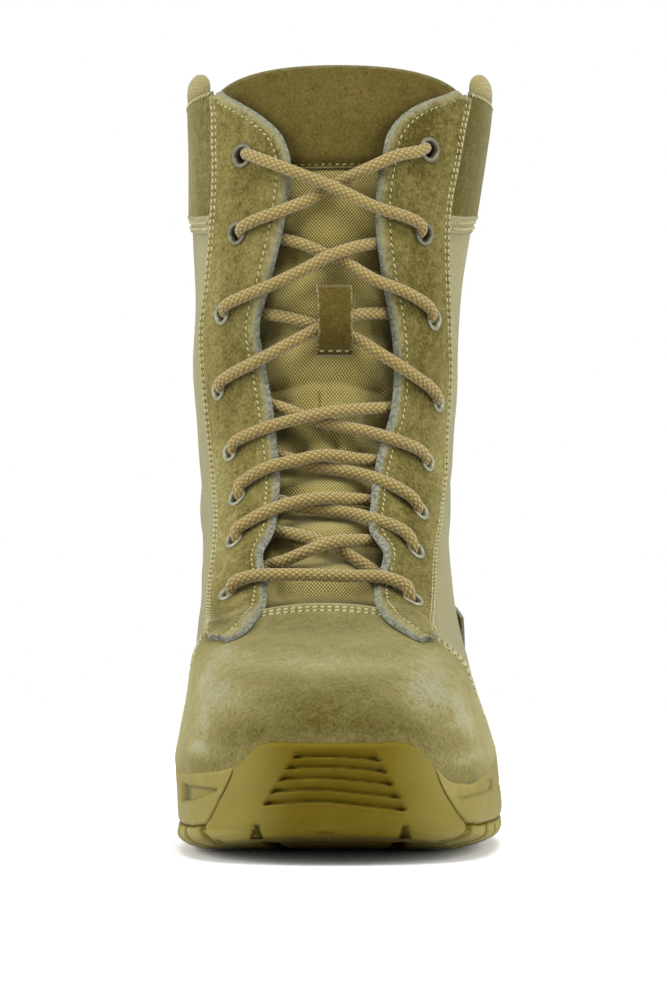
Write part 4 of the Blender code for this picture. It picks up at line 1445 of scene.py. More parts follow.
THROAT = read_table("""
level medial lateral
0 0.3 0.3
4.3 0.3 0.3
5.3 24 24
6.4 44 39
7.6 41 41
9.3 43 47
10.2 49 53
11.1 48 47
12 40 42
12.85 41 39
14.1 54 55
""")


def shell_chart(u, v):
    """From the lateral edge of the throat round the heel to the medial edge."""
    level = COLLAR_LEVEL * v
    medial, lateral = girths(level)
    start = column(THROAT, "lateral", level) * MM
    end = medial + lateral - column(THROAT, "medial", level) * MM
    arc = start + (end - start) * u
    return level, arc, 0 * u, np.full(np.shape(u), NO_EDGE)


SHELL_GRID = (200, 136)
shell = sheet_object("upper_shell", *SHELL_GRID, shell_chart)
give_wall(shell, UPPER_WALL, outwards=False, inside=1, rim=1)
finish_piece(shell, [NYLON, LINING], ["upper"])
print("shell faces:", len(shell.data.polygons))

# %% [markdown]
# ## The vamp
#
# One piece of suede covers the toe and is lasted down behind the rubber. Its top line arches up
# under the laces and falls away along both flanks. Light and dark patches lie over the nap's own
# mottling, and most of them are painted light and shade: paler over the crown of the toe and along
# the flanks, where the soft boxes light them, darker on the front face and in the shade under the
# laces and beside the throat, with some of the nap's own variation. They are soft spots listed
# in an attribute that the suede adds to its own mottling.

# %% Patches on the nap, mostly painted light and shade
TONE_AND_LIGHT_PATCHES = read_table("""
level arc half_height half_width tone
4.55 2 9 34 0.24
4.75 -38 10 16 0.26
4.35 42 10 14 0.24
3.7 34 8 12 0.2
3.22 0 10 22 -0.28
2.7 6 6 24 -0.2
2.45 -27 7 16 -0.2
3.1 52 9 7 0.34
2.5 58 8 8 0.3
2.6 44 4 12 0.14
3.9 60 9 9 0.16
2.6 -52 12 10 0.38
3.8 -52 12 12 0.32
1.9 -56 5 12 0.4
1.6 52 5 16 0.3
3.45 -37 12 14 0.29
3.3 35 12 13 0.29
2.5 21 8 15 -0.2
5.7 -4 6 12 -0.18
5.9 14 5 8 -0.12
5.5 -40 6 9 -0.2
6.3 -44 8 6 -0.18
5.9 32 8 6 -0.16
8.1 34 16 6 -0.16
8.3 -30 14 6 -0.1
9.6 -46 16 7 0.16
9.4 52 18 7 0.18
10.6 -38 20 6 -0.12
10.7 38 20 6 -0.1
11.6 -46 18 6 0.12
12.4 44 20 6 0.08
13.2 30 10 8 -0.16
13.1 -42 12 8 -0.06
7.6 -46 14 5 0.14
7.4 46 14 5 0.1
7.2 -29 30 5 -0.2
7.2 28 30 5 -0.02
5.6 34 7 8 0.12
5.62 -44 7 7 -0.34
""")


def paint_tone_and_light(obj, chart, columns, rows, extra=None):
    """An attribute of painted light and shade, with some of the nap's own variation, from the
    patches, read at the sheet's own grid places.
    """
    level, arc = chart(*grid_places(columns, rows))[:2]
    arc = wrapped_arc(level, arc)
    tone = np.zeros(len(level))
    for at_level, at_arc, half_height, half_width, shade in TONE_AND_LIGHT_PATCHES[1:]:
        rise = (level - at_level) * LEVEL_HEIGHT
        tone += shade * hump(rise, half_height) * hump(arc / MM - at_arc, half_width)
    if extra is not None:
        tone += extra(level, arc)
    mark_points(obj, {"tone": tone})


VAMP_LIFT = 0.25 * MM
VAMP_THICKNESS = 1.4 * MM
VAMP_FOOT = 0.5
VAMP_START = -131
VAMP_LENGTH = 252
VAMP_SEAMS = (2.6 * MM, 5.0 * MM)
SEAM_HALF_WIDTH = 1.0 * MM
VAMP_GRID = (216, 92)


def trenches(distance, seams, half_width=SEAM_HALF_WIDTH):
    """1 in the middle of each seam's trench, at distances from an edge."""
    return sum(hump(distance - seam, half_width) for seam in seams)


def vamp_chart(u, v):
    """From the medial flank over the toe to the lateral flank, up to the top line."""
    arc = (VAMP_START + VAMP_LENGTH * u) * MM
    top = column(VAMP_TOP, "level", arc / MM)
    foot = np.minimum(VAMP_FOOT, top)
    level = foot + (top - foot) * v
    edge = level_gap(level, top, arc)
    lift = VAMP_LIFT - 0.22 * MM * trenches(edge, VAMP_SEAMS)
    spot = read_chart(CHART, level, arc)
    under_rim = rim_at(spot[:, 1] / MM, np.sign(arc) + (arc == 0)) - spot[:, 2] / MM
    return level, arc, lift - 3.0 * MM * step_up(1.5, 4.5, under_rim), edge


vamp = sheet_object("vamp", *VAMP_GRID, vamp_chart)
paint_tone_and_light(vamp, vamp_chart, *VAMP_GRID)
give_wall(vamp, VAMP_THICKNESS, rim=1, round_edge=0.4 * MM)
finish_piece(vamp, [SUEDE_VAMP, CUT_EDGE])
print("vamp faces:", len(vamp.data.polygons))

# %% [markdown]
# ## The facings
#
# The two facings carry the eyelets. They lie over the quarters and the vamp, thick enough to show
# their raw cut edge along the throat, and the pull of the laces has waved that edge. The rows of
# stitches press a shallow trench along each side. The cloth inside each eyelet is cut away, so
# the lace really passes through.

# %% Facings
FACING_LIFT = 0.3 * MM
FACING_TONE = {-1: 0.0, 1: -0.16}
FACING_THICKNESS = 2.2 * MM
FACING_FOOT = FACINGS[1][0]
FACING_TOP = FACINGS[-1][0]
RAW_EDGE = read_table("""
level width
5.1 0.5
5.8 0.6
6.4 1
7.5 1.3
8.6 1.1
9.6 0.8
11 0.6
14.1 0.5
""")
RAW_EDGE_DROP = 1.1 * MM
EYELET_HOLE_SHARE = 0.76
INNER_SEAM = 2.7 * MM
OUTER_SEAM = 2.4 * MM
PUCKER_LEVEL, PUCKER_ARC = 5.62, 42
FACING_GRID = (54, 236)
EDGE_WAVES = read_table("""
level medial lateral
5.1 0.2 0.2
5.6 1 0.9
6.2 -0.3 0.2
6.9 0.6 -0.4
7.5 1.4 1.6
8 0.1 0
8.4 0.6 0.7
8.9 -0.2 0.1
9.5 0.7 0.6
10.3 0 0.9
11.1 1.1 0.3
11.8 0.4 0
12.6 0.2 0.2
13.4 0.7 0.9
14.1 0.3 0.5
""")


def raw_width(level):
    """Width of the slanting cut edge beside the throat, in metres."""
    return column(RAW_EDGE, "width", level) * MM


def facing_chart(side):
    """The chart of one facing: u runs from the throat outwards, v from foot to top."""
    name = SIDE_NAMES[side]

    def chart(u, v):
        level = FACING_FOOT + (FACING_TOP - FACING_FOOT) * v
        inner = column(FACINGS, f"{name}_inner", level) * MM
        outer = column(FACINGS, f"{name}_outer", level) * MM
        arc = inner + (outer - inner) * u
        from_inner = arc - inner
        from_outer = outer - arc
        from_foot = level_gap(FACING_FOOT, level, side * arc)
        ends = np.minimum(from_foot, level_gap(level, FACING_TOP, side * arc))
        edge = np.minimum(np.minimum(from_inner, from_outer), ends)
        seams = hump(from_inner - INNER_SEAM, 0.9 * MM) + hump(from_outer - OUTER_SEAM, 0.9 * MM)
        wave = column(EDGE_WAVES, name, level) * MM * hump(from_inner, 6.0 * MM)
        slant = RAW_EDGE_DROP * step_up(raw_width(level), 0.0, from_inner)
        lift = FACING_LIFT + OVER_VAMP_RISE * over_vamp(level, side * arc)
        lift = lift - 0.28 * MM * seams + wave - slant
        pucker = hump((level - PUCKER_LEVEL) * LEVEL_HEIGHT, 5.0) * hump(arc / MM - PUCKER_ARC, 6.5)
        return level, side * arc, lift - 0.5 * MM * pucker * (side < 0), edge

    return chart


def in_eyelets(side, level, arc):
    """True at places of the facing that lie inside one of its eyelets."""
    place = EYELETS[0].index(SIDE_NAMES[side])
    points = on_last(level, arc)
    inside = np.zeros(len(points), bool)
    for row in EYELETS[1:]:
        centre = on_last(row[place - 1], side * row[place] * MM)
        inside |= np.linalg.norm(points - centre, axis=1) < EYELET_HOLE_SHARE * row[-1] * MM
    return inside


def raw_mask(side, level, arc):
    """1 on the slanting cut edge beside the throat, 0 on the face of the facing."""
    inner = column(FACINGS, f"{SIDE_NAMES[side]}_inner", level) * MM
    foot = level_gap(FACING_FOOT, level, arc)
    width = raw_width(level)
    return step_up(width + 0.3 * MM, width - 0.4 * MM, np.minimum(side * arc - inner, foot))


for side, name in SIDE_NAMES.items():
    chart = facing_chart(side)
    shown = (lambda u, v, chart=chart: chart(1 - u, v)) if side < 0 else chart
    facing = sheet_object(f"suede_facing_{name}", *FACING_GRID, shown)
    paint_tone_and_light(facing, shown, *FACING_GRID, lambda level, arc, side=side: FACING_TONE[side])
    level, arc = shown(*grid_places(*FACING_GRID))[:2]
    mark_points(facing, {"raw": raw_mask(side, level, arc)})
    mesh = bmesh.new()
    mesh.from_mesh(facing.data)
    mesh.verts.ensure_lookup_table()
    gone = [mesh.verts[i] for i in np.flatnonzero(in_eyelets(side, level, arc))]
    bmesh.ops.delete(mesh, geom=gone, context="VERTS")
    mesh.to_mesh(facing.data)
    mesh.free()
    give_wall(facing, FACING_THICKNESS, rim=1, round_edge=0.5 * MM)
    finish_piece(facing, [SUEDE, CUT_EDGE], [f"facing_{name}"])
    print(facing.name, "faces:", len(facing.data.polygons))

# %% [markdown]
# ## Heel counter and collar panel
#
# Both are flat pieces of suede laid over the nylon shell. The counter wraps the heel; on the
# lateral side it runs forward in a wing whose front edge stands a little off the quarter. The
# panel borders the top, from one facing round to the other.

# %% Counter and panel
COUNTER = read_table("""
from_back top
-176 5.36
-171 5.5
-165 5.66
-150 5.76
-120 6
-90 6.2
-60 6.5
-30 6.9
0 7.1
30 6.9
60 6.4
90 5.7
120 4.8
150 3.6
168 2.2
""")
COUNTER_FOOT = 0.55
COUNTER_START = -172
COUNTER_LENGTH = 336
COUNTER_SEAMS = (2.6 * MM, 5.2 * MM)
PANEL_FOOT = 12.18
PANEL_RISE = 0.13
PANEL_TOP = 14.18
HEM_BELOW = 0.165
HEM_OVER = 0.02
HEM_ROWS = (0.62, 0.27)
HEM_LIFT = 0.15 * MM
HEM_THICKNESS = 0.65 * MM
BESIDE_FACING = 0.6 * MM
OVERLAY_LIFT = 0.3 * MM
OVERLAY_THICKNESS = 1.2 * MM
COUNTER_THICKNESS = 1.0 * MM


def counter_chart(u, v):
    """From the wing on the lateral side round the heel to the medial side."""
    back = COUNTER_START + COUNTER_LENGTH * u
    top = column(COUNTER, "top", back)
    foot = np.minimum(COUNTER_FOOT + step_up(-140, COUNTER_START, back) * 3.4, top)
    level = foot + (top - foot) * v
    arc = girths(level)[1] + back * MM
    front = (back - COUNTER_START) * MM
    edge = np.minimum(level_gap(level, top, arc), front)
    wing = 1.0 * MM * hump(front, 6 * MM) * step_up(3.8, 5.2, level)
    lift = OVERLAY_LIFT + OVER_VAMP_RISE * over_vamp(level, arc)
    return level, arc, lift - 0.2 * MM * trenches(edge, COUNTER_SEAMS) + wing, edge


def panel_foot(u):
    """Level of the collar panel's lower edge, a little higher away from the facings."""
    return PANEL_FOOT + PANEL_RISE * step_up(0.0, 0.2, np.minimum(u, 1 - u))


def between_facings(level, u):
    """Arcs from the lateral facing's outer edge round the back to the medial one's."""
    medial, lateral = girths(level)
    start = column(FACINGS, "lateral_outer", level) * MM + BESIDE_FACING
    end = medial + lateral - column(FACINGS, "medial_outer", level) * MM - BESIDE_FACING
    return start + (end - start) * u


def panel_chart(u, v):
    """From the lateral facing round the back to the medial one, up to the collar."""
    foot = panel_foot(u)
    level = foot + (PANEL_TOP - foot) * v
    arc = between_facings(level, u)
    edge = np.minimum(level_gap(foot, level, arc), level_gap(level, PANEL_TOP, arc))
    return level, arc, OVERLAY_LIFT + 0 * u, edge


def hem_chart(u, v):
    """A strip of nylon turned over the panel's lower edge and sewn through with two rows."""
    foot = panel_foot(u)
    level = foot - HEM_BELOW + (HEM_BELOW + HEM_OVER) * v
    arc = between_facings(level, u)
    on_panel = step_up(-2.2 * MM, 0.2 * MM, level_gap(foot, level, arc))
    edge = np.minimum(v, 1 - v) * 5 * MM
    lift = HEM_LIFT + 1.05 * MM * on_panel - 0.2 * MM * trenches(v, HEM_ROWS, 0.16)
    return level, arc, lift, edge


def panel_painted_shade(level, arc):
    """Painted shade: the panel is darker than the rest, most of all beside the lateral facing."""
    return -0.16 - 0.26 * (arc > 0) * step_up(185 * MM, 100 * MM, arc)


COUNTER_GRID = (190, 64)
PANEL_GRID = (200, 34)
HEM_GRID = (230, 12)
counter = sheet_object("suede_counter", *COUNTER_GRID, counter_chart)
paint_tone_and_light(counter, counter_chart, *COUNTER_GRID)
give_wall(counter, COUNTER_THICKNESS, rim=1, round_edge=0.3 * MM)
finish_piece(counter, [SUEDE, CUT_EDGE], ["heel_counter"])
panel = sheet_object("suede_collar_panel", *PANEL_GRID, panel_chart)
paint_tone_and_light(panel, panel_chart, *PANEL_GRID, panel_painted_shade)
give_wall(panel, OVERLAY_THICKNESS, rim=1, round_edge=0.4 * MM)
finish_piece(panel, [SUEDE, CUT_EDGE], ["collar_panel"])
hem = sheet_object("nylon_collar_hem", *HEM_GRID, hem_chart)
give_wall(hem, HEM_THICKNESS, rim=0, round_edge=0.35 * MM)
finish_piece(hem, [NYLON])
print("counter and panel ready")

# %% [markdown]
# ## Collar roll
#
# The lining is turned over a strip of foam into a soft roll that stands above the collar panel.
# It is swept round the opening as rings, puckered a little where the seam pulls it in, and its
# two ends close behind the facings.

# %% Collar roll
ROLL_LEVEL = COLLAR_LEVEL + 0.36
ROLL_HALF_HEIGHT = 0.36
ROLL_START = 66 * MM
ROLL_HALF_THICKNESS = 3.4 * MM
ROLL_LIFT = -2.0 * MM
ROLL_END = 12 * MM
ROLL_SQUARENESS = 0.85
ROLL_GRID = (30, 290)


def squared(wave):
    """A wave between -1 and 1 with fuller shoulders."""
    return np.sign(wave) * np.abs(wave) ** ROLL_SQUARENESS


def roll_shape(u, v):
    """A closed ring at each v, u round it, puckered and tapered at both ends."""
    medial, lateral = girths(ROLL_LEVEL)
    start, end = ROLL_START, medial + lateral - ROLL_START
    arc = start + (end - start) * v
    ends = np.minimum(arc - start, end - arc)
    full = np.sqrt(np.clip(1 - (1 - np.clip(ends / ROLL_END, 0, 1)) ** 2, 0.0004, 1))
    turn = 2 * math.pi * u
    pucker = 1 + 0.035 * np.sin(arc / (2.6 * MM)) * hump(turn - 4.2, 0.9)
    pucker += 0.02 * np.sin(arc / (7.3 * MM) + 1.0)
    middle = ROLL_LEVEL - 0.22 * (1 - full)
    level = middle + ROLL_HALF_HEIGHT * full * pucker * squared(np.sin(turn))
    lift = ROLL_LIFT + ROLL_HALF_THICKNESS * full * pucker * squared(np.cos(turn))
    cloth = np.stack([u * 34 * MM, arc], axis=1)
    return on_last(level, arc, lift), cloth, np.full(len(u), NO_EDGE)


rings = grid_object("roll", *ROLL_GRID, roll_shape, closed=True)
roll = joined_shell("collar_roll_padding", [rings], 0.01 * MM)
finish_piece(roll, [LINING], ["collar_roll"])
print("roll faces:", len(roll.data.polygons))

# %% [markdown]
# ## The tongue
#
# The tongue is a padded sheet behind the laces: woven nylon below, with a suede panel sewn on
# above the second eyelets. The laces press it into pillows and puckers. It is modelled directly
# as a thick sheet with rounded sides, its pillows and folds placed as soft troughs, because a
# cloth simulation of so thin a pad would lose its seams.

# %% Tongue
TONGUE = read_table("""
level medial lateral
5.7 27 25
6.6 33 31
8.5 36 36
10.2 43 43
11.2 43 43
12.2 43 42
13.2 54 53
14 74 72
""")
TONGUE_FOOT = 5.70
TONGUE_TOP = 14.00
TONGUE_CROWN = 0.58
TONGUE_SHOULDER = 3
TONGUE_OUTSIDE = -6.2 * MM
TONGUE_THICKNESS = 4.6 * MM
TONGUE_PANEL_THICKNESS = 1.1 * MM
PILLOW_HEIGHT = 1.8
PANEL_SEAM = 12.66
TONGUE_GRID = (78, 210)
TONGUE_PANEL_GRID = (78, 54)
TONGUE_FOLDS = read_table("""
level arc to_level to_arc half_width height
10.3 -26 10.41 -9 1.1 -1
10.42 -7 10.42 7 1.1 -1
10.41 9 10.28 26 1.1 -1
10.1 -2 10.26 -2.6 1 -0.8
10.72 -24 10.78 24 5 0.7
10.08 -26 10.02 -6 3 -0.8
9.78 -24 9.62 -10 3.2 -2
9.9 0 9.66 5 2.4 -1.6
9.95 20 9.7 28 3 -1.3
9.95 -16 9.95 12 3 0.9
9.3 -20 9.3 22 3.6 -1.1
9 -20 9.02 20 4 1
8.62 -20 8.58 20 3.4 -1
8.3 -18 8.3 18 4.2 0.9
7.86 -20 7.9 18 3.4 -1
7.45 -16 7.45 14 4.2 0.8
7.05 -20 7.05 20 3 -0.8
11.3 -22 11.25 22 7 0.6
11.02 -28 11 28 3 -0.7
11.76 -24 11.7 24 3.6 -0.6
12.2 -22 12.15 24 7 0.7
12.56 -26 12.56 26 2.6 -0.5
12.7 -36 12.7 36 1.1 -0.8
13.35 -22 13.35 24 13 1.2
""")


def tongue_chart(u, v):
    """From the medial side to the lateral side, up to a top edge that rises in the middle."""
    level = TONGUE_FOOT + (TONGUE_TOP - TONGUE_FOOT) * v
    medial = column(TONGUE, "medial", level)
    lateral = column(TONGUE, "lateral", level)
    arc = (-medial + (medial + lateral) * u) * MM
    crown = TONGUE_CROWN * (1 - np.abs(2 * u - 1) ** TONGUE_SHOULDER)
    level = level + crown * step_up(12.6, TONGUE_TOP, level)
    from_sides = np.minimum(u, 1 - u) * (medial + lateral) * MM
    edge = np.minimum(from_sides, level_gap(level, TONGUE_TOP + crown, arc))
    flat = -1.2 * MM * (1 - hump(arc, 30 * MM)) * step_up(12.4, 11.4, level)
    lift = TONGUE_OUTSIDE + PILLOW_HEIGHT * folds(TONGUE_FOLDS, level, arc) + flat
    return level, arc, lift, edge


tongue = sheet_object("tongue_pad", *TONGUE_GRID, tongue_chart, creased=False)
give_wall(tongue, TONGUE_THICKNESS, outwards=False, inside=1, rim=1, round_edge=1.7 * MM)
finish_piece(tongue, [NYLON_TONGUE, LINING], ["tongue"])


def tongue_panel_chart(u, v):
    """The part of the tongue above the panel's seam, a little inside its sides."""
    share = (PANEL_SEAM - TONGUE_FOOT) / (TONGUE_TOP - TONGUE_FOOT)
    level, arc, lift, edge = tongue_chart(0.012 + 0.976 * u, share + (1 - share) * v)
    foot = level_gap(PANEL_SEAM, level, arc)
    return level, arc, lift + 0.1 * MM, np.minimum(edge, foot)


tongue_panel = sheet_object(
    "suede_tongue_panel", *TONGUE_PANEL_GRID, tongue_panel_chart, creased=False
)
paint_tone_and_light(tongue_panel, tongue_panel_chart, *TONGUE_PANEL_GRID)
give_wall(tongue_panel, TONGUE_PANEL_THICKNESS, rim=0, round_edge=0.45 * MM)
finish_piece(tongue_panel, [SUEDE_TONGUE])
print("tongue faces:", len(tongue.data.polygons))

# %% [markdown]
# ## Lace keeper and insole
#
# A loop of suede is sewn on the tongue so that it can't slip aside: the third crossing of the
# lace runs under it. The insole is a thin dished pad that closes the boot's floor.

# %% Keeper
KEEPER = read_table("""
station level lift medial lateral
0 11.4 -5 -4.6 8.8
1 11.38 0.5 -4.2 8.1
2 11.35 4.4 -3.7 7.5
3 11.27 5.7 -3 7.2
4 11.14 6.1 -2.5 7.3
5 11.02 5.4 -2.4 7.5
6 10.94 4.2 -2.5 7.8
7 10.87 2.2 -2.8 8.4
8 10.81 -1.4 -3.2 9.2
9 10.785 -4.7 -3.7 10.1
10 10.7 -4.8 -3.9 10.4
""")


def keeper_chart(u, v):
    """A strap that comes up out of the tongue, arches over the lace and goes down again."""
    station = (len(KEEPER) - 2) * v
    level = column(KEEPER, "level", station)
    lift = column(KEEPER, "lift", station) * MM
    across = 2 * u - 1
    medial = column(KEEPER, "medial", station) * MM
    lateral = column(KEEPER, "lateral", station) * MM
    arc = medial + (lateral - medial) * u
    cupped = -0.5 * MM * across**2 * hump(v - 0.5, 0.3)
    edge = np.minimum(u, 1 - u) * (lateral - medial) + 0.9 * MM
    return level, arc, lift + cupped, edge


KEEPER_SEAM = 0.935
KEEPER_THICKNESS = 1.6 * MM
KEEPER_GRID = (22, 90)
keeper = sheet_object("suede_lace_keeper", *KEEPER_GRID, keeper_chart, creased=False)
give_wall(keeper, KEEPER_THICKNESS, outwards=False, rim=1, round_edge=0.35 * MM)
finish_piece(keeper, [SUEDE_KEEPER, CUT_EDGE], ["lace_keeper"])
print("keeper faces:", len(keeper.data.polygons))

# %% Insole
INSOLE_LEVEL = 0.35
INSOLE_LIFT = -3.4 * MM
INSOLE_DISH = 1.6 * MM
INSOLE_THICKNESS = 4.0 * MM
INSOLE_GRID = (32, 100)


def insole_shape(u, v):
    """Across from the medial side to the lateral side at each v, from toe to heel."""
    share = np.clip(v, 0.002, 0.998)
    run = even_rounds(share)
    medial, lateral = girths(INSOLE_LEVEL)
    left = on_last(INSOLE_LEVEL, -share * medial, INSOLE_LIFT)
    right = on_last(INSOLE_LEVEL, share * lateral, INSOLE_LIFT)
    points = left + (right - left) * u[:, None]
    points[:, 2] -= INSOLE_DISH * 4 * u * (1 - u) * np.sin(math.pi * run)
    return points, points[:, :2], np.full(len(u), NO_EDGE)


insole = grid_object("insole_pad", *INSOLE_GRID, insole_shape)
give_wall(insole, INSOLE_THICKNESS, outwards=False)
finish_piece(insole, [LINING], ["insole"])
print("insole faces:", len(insole.data.polygons))

# %% [markdown]
# ## Eyelets
#
# Each eyelet is a turned ring: a rolled rim that lies on the suede, and a short tube through the
# hole. Its section is a few points, spun round the axis that points out of the facing there. All
# sixteen come from one function that reads the table of eyelets.

# %% Eyelets
EYELET_SECTION = read_table("""
radius height
0.62 -3.1
0.62 0
0.65 0.45
0.72 0.78
0.81 0.9
0.91 0.82
0.99 0.56
1.03 0.22
1 -0.1
0.7 -0.1
0.69 -3.1
""")
EYELET_STEPS = 36


def eyelet_frame(level, arc, lift):
    """A matrix whose Z points out of the boot at a place on the facing."""
    centre = Vector(on_last(level, arc, lift + relief(level, arc)))
    outwards = Vector(read_chart(CHART_OUT, level, arc))
    return Matrix.Translation(centre) @ outwards.to_track_quat("Z", "Y").to_matrix().to_4x4()


def facing_top(level, arc):
    """Lift of the facing's top face at a place."""
    return FACING_LIFT + FACING_THICKNESS + OVER_VAMP_RISE * float(over_vamp(level, arc))


def eyelet_spots():
    """Name, level, arc and size of every eyelet, from the top row down."""
    for row, medial_level, medial, lateral_level, lateral, radius in EYELETS[1:]:
        yield f"medial_{row}", medial_level, -medial * MM, radius * MM
        yield f"lateral_{row}", lateral_level, lateral * MM, radius * MM


for name, level, arc, size in eyelet_spots():
    mesh = bmesh.new()
    corners = [(radius * size, 0, height * MM) for radius, height in EYELET_SECTION[1:]]
    section = [mesh.verts.new(corner) for corner in corners]
    edges = [mesh.edges.new(pair) for pair in zip(section, section[1:] + section[:1])]
    bmesh.ops.spin(
        mesh, geom=section + edges, cent=(0, 0, 0), axis=(0, 0, 1), dvec=(0, 0, 0),
        angle=2 * math.pi, steps=EYELET_STEPS, use_merge=True,
    )
    bmesh.ops.remove_doubles(mesh, verts=mesh.verts, dist=0.01 * MM)
    bmesh.ops.recalc_face_normals(mesh, faces=mesh.faces)
    seat = eyelet_frame(level, arc, facing_top(level, arc))
    bmesh.ops.transform(mesh, matrix=seat, verts=mesh.verts)
    ring = object_from(f"rolled_eyelet_{name}", mesh)
    finish_piece(ring, [METAL], [f"eyelet_{name}"])
print("eyelets:", 2 * (len(EYELETS) - 1))

# %% [markdown]
# ## The lace
#
# One round braided lace runs through all sixteen eyelets. From the top row down it dives under a
# facing, comes out along its cut edge, crosses the throat and goes over the other facing into the
# next eyelet from outside. At the foot it comes up through the lowest pair as one straight bar.
# We chart its route as knots of level, arc and lift, and sweep a ring along the smooth curve
# through them. The ring's UV map runs along and around the lace, so that the braid turns with it.

# %% The route
LACE_RADIUS = 2.2 * MM
LACE_SQUEEZE = 0.20
SQUEEZE_REACH = 4.5 * MM
BEHIND_LIFT = -2.6
LACE_STEP = 1.1 * MM
CURVE_STEPS = 14
ON_TOP = {
    1: (
        (12.79, -31.0, 4.7), (12.60, -16.5, 5.0), (12.41, 0.8, 1.1), (12.21, 14.4, 4.1),
        (12.11, 26.7, 5.1), (12.03, 32.5, 5.0),
    ),
    2: (
        (11.89, 21.5, -2.9), (11.83, 10.6, -1.2), (11.72, 0.2, 1.0), (11.55, -10.2, 2.2),
        (11.40, -20.3, 4.6), (11.29, -31.0, 5.0), (11.22, -37.5, 5.0),
    ),
    3: (
        (11.16, 27.2, -2.9), (11.13, 9.4, -1.4), (10.96, -3.8, 0.6), (10.77, -14.2, 2.6),
        (10.59, -23.5, 4.8), (10.44, -34.0, 5.0), (10.33, -40.0, 5.0),
    ),
    4: (
        (10.07, 27.9, -2.9), (10.04, 14.5, -1.2), (9.97, 1.6, 1.0), (9.87, -9.0, 2.1),
        (9.73, -18.1, 4.5), (9.58, -27.8, 5.0), (9.45, -34.0, 5.0),
    ),
    5: (
        (9.32, 23.4, -2.9), (9.34, 11.2, -1.2), (9.35, -0.3, 1.1), (9.24, -9.9, 2.2),
        (9.07, -19.3, 4.6), (8.84, -28.0, 5.0), (8.68, -32.0, 5.0),
    ),
    6: (
        (8.67, 20.1, -2.9), (8.69, 8.0, -1.2), (8.62, -2.2, 1.1), (8.48, -11.8, 2.4),
        (8.18, -21.5, 4.8), (7.94, -30.0, 5.0), (7.84, -33.5, 5.0),
    ),
}
BENEATH = {
    1: (
        (12.84, 29.5, 4.7), (12.76, 20.7, 4.9), (12.62, 11.6, 2.2), (12.50, 1.6, -3.4),
        (12.30, -9.1, -0.3), (12.15, -18.5, 4.5), (12.07, -26.5, 5.1), (12.02, -31.0, 5.0),
    ),
    2: (
        (11.93, -22.3, -2.9), (11.88, -12.3, -3.4), (11.77, -2.1, -3.7), (11.66, 6.8, -2.4),
        (11.47, 15.8, 3.3), (11.35, 26.8, 5.0), (11.20, 37.5, 5.0),
    ),
    3: (
        (11.16, -27.6, -2.9), (11.13, -17.0, -3.4), (11.05, -5.6, -3.7), (10.895, 9.8, -1.6),
        (10.70, 18.2, 2.4), (10.49, 27.7, 5.0), (10.25, 40.5, 5.0),
    ),
    4: (
        (10.13, -24.2, -2.9), (10.04, -13.9, -3.4), (9.92, -4.8, -3.7), (9.83, 6.1, -2.8),
        (9.70, 16.0, 0.5), (9.51, 24.9, 4.8), (9.34, 35.5, 5.0),
    ),
    5: (
        (9.43, -20.4, -2.9), (9.38, -13.8, -3.4), (9.29, -4.8, -3.7), (9.20, 6.1, -2.8),
        (9.02, 16.0, 0.5), (8.72, 24.1, 4.8), (8.47, 32.5, 5.0),
    ),
    6: (
        (8.72, -20.9, -2.9), (8.62, -10.2, -3.4), (8.59, -1.4, -3.7), (8.46, 10.4, -2.4),
        (8.12, 19.7, 2.6), (7.84, 27.9, 5.0), (7.68, 31.5, 5.0),
    ),
}
LAST_TOP = (
    (7.88, 23.5, -2.9), (7.90, 11.2, -1.1), (7.77, 1.7, 1.2), (7.62, -7.0, 0.3),
    (7.53, -15.2, -2.0), (7.44, -23.3, -3.1),
)
LAST_BENEATH = (
    (8.10, -22.7, -2.9), (8.11, -12.3, -3.4), (8.00, -2.4, -3.7), (7.81, 6.3, -3.7),
    (7.59, 12.9, -3.4), (7.43, 17.5, -3.1),
)
BAR = (
    (6.62, -33.5, 6.2), (6.73, -29.6, 6.0), (6.86, -23.0, 5.5), (6.94, -16.8, 4.5),
    (7.04, -5.3, 2.8), (7.03, 6.7, 2.4), (6.89, 19.6, 4.3), (6.62, 27.0, 6.0), (6.52, 29.5, 6.0),
)


def eyelet_knots(row, side):
    """Knots outside, in and behind an eyelet."""
    place = EYELETS[0].index(SIDE_NAMES[side])
    level, arc = EYELETS[row][place - 1], side * EYELETS[row][place]
    top = facing_top(level, arc * MM) / MM
    over_rim = (level + 0.02, arc - 2.4 * side, top + 1.5)
    in_hole = (level, arc - 0.7 * side, top - 1.2)
    return over_rim, in_hole, (level, arc - 0.5 * side, BEHIND_LIFT)


def lace_route():
    """All knots of the lace in order: down from the medial side, along the bar, and up again."""
    route = list(eyelet_knots(1, -1)[::-1])
    side = 1
    for row in sorted(ON_TOP):
        route += ON_TOP[row] if (row == 1 or side < 0) else BENEATH[row]
        route += eyelet_knots(row + 1, side)
        side = -side
    route += LAST_BENEATH + ((6.75, 30.0, BEHIND_LIFT),)
    route += eyelet_knots(8, 1)[::-1] + BAR[::-1] + eyelet_knots(8, -1)
    route += ((6.80, -35.0, BEHIND_LIFT),) + LAST_TOP[::-1]
    side = 1
    for row in sorted(ON_TOP, reverse=True):
        route += eyelet_knots(row + 1, side)[::-1]
        knots = BENEATH[row] if (row == 1 or side > 0) else ON_TOP[row]
        route += knots[::-1]
        side = -side
    route += eyelet_knots(1, 1)
    return route


def read_line(line, reach, places):
    """Points of a line read at distances along it."""
    return np.stack([np.interp(places, reach, line[:, axis]) for axis in range(3)], axis=1)


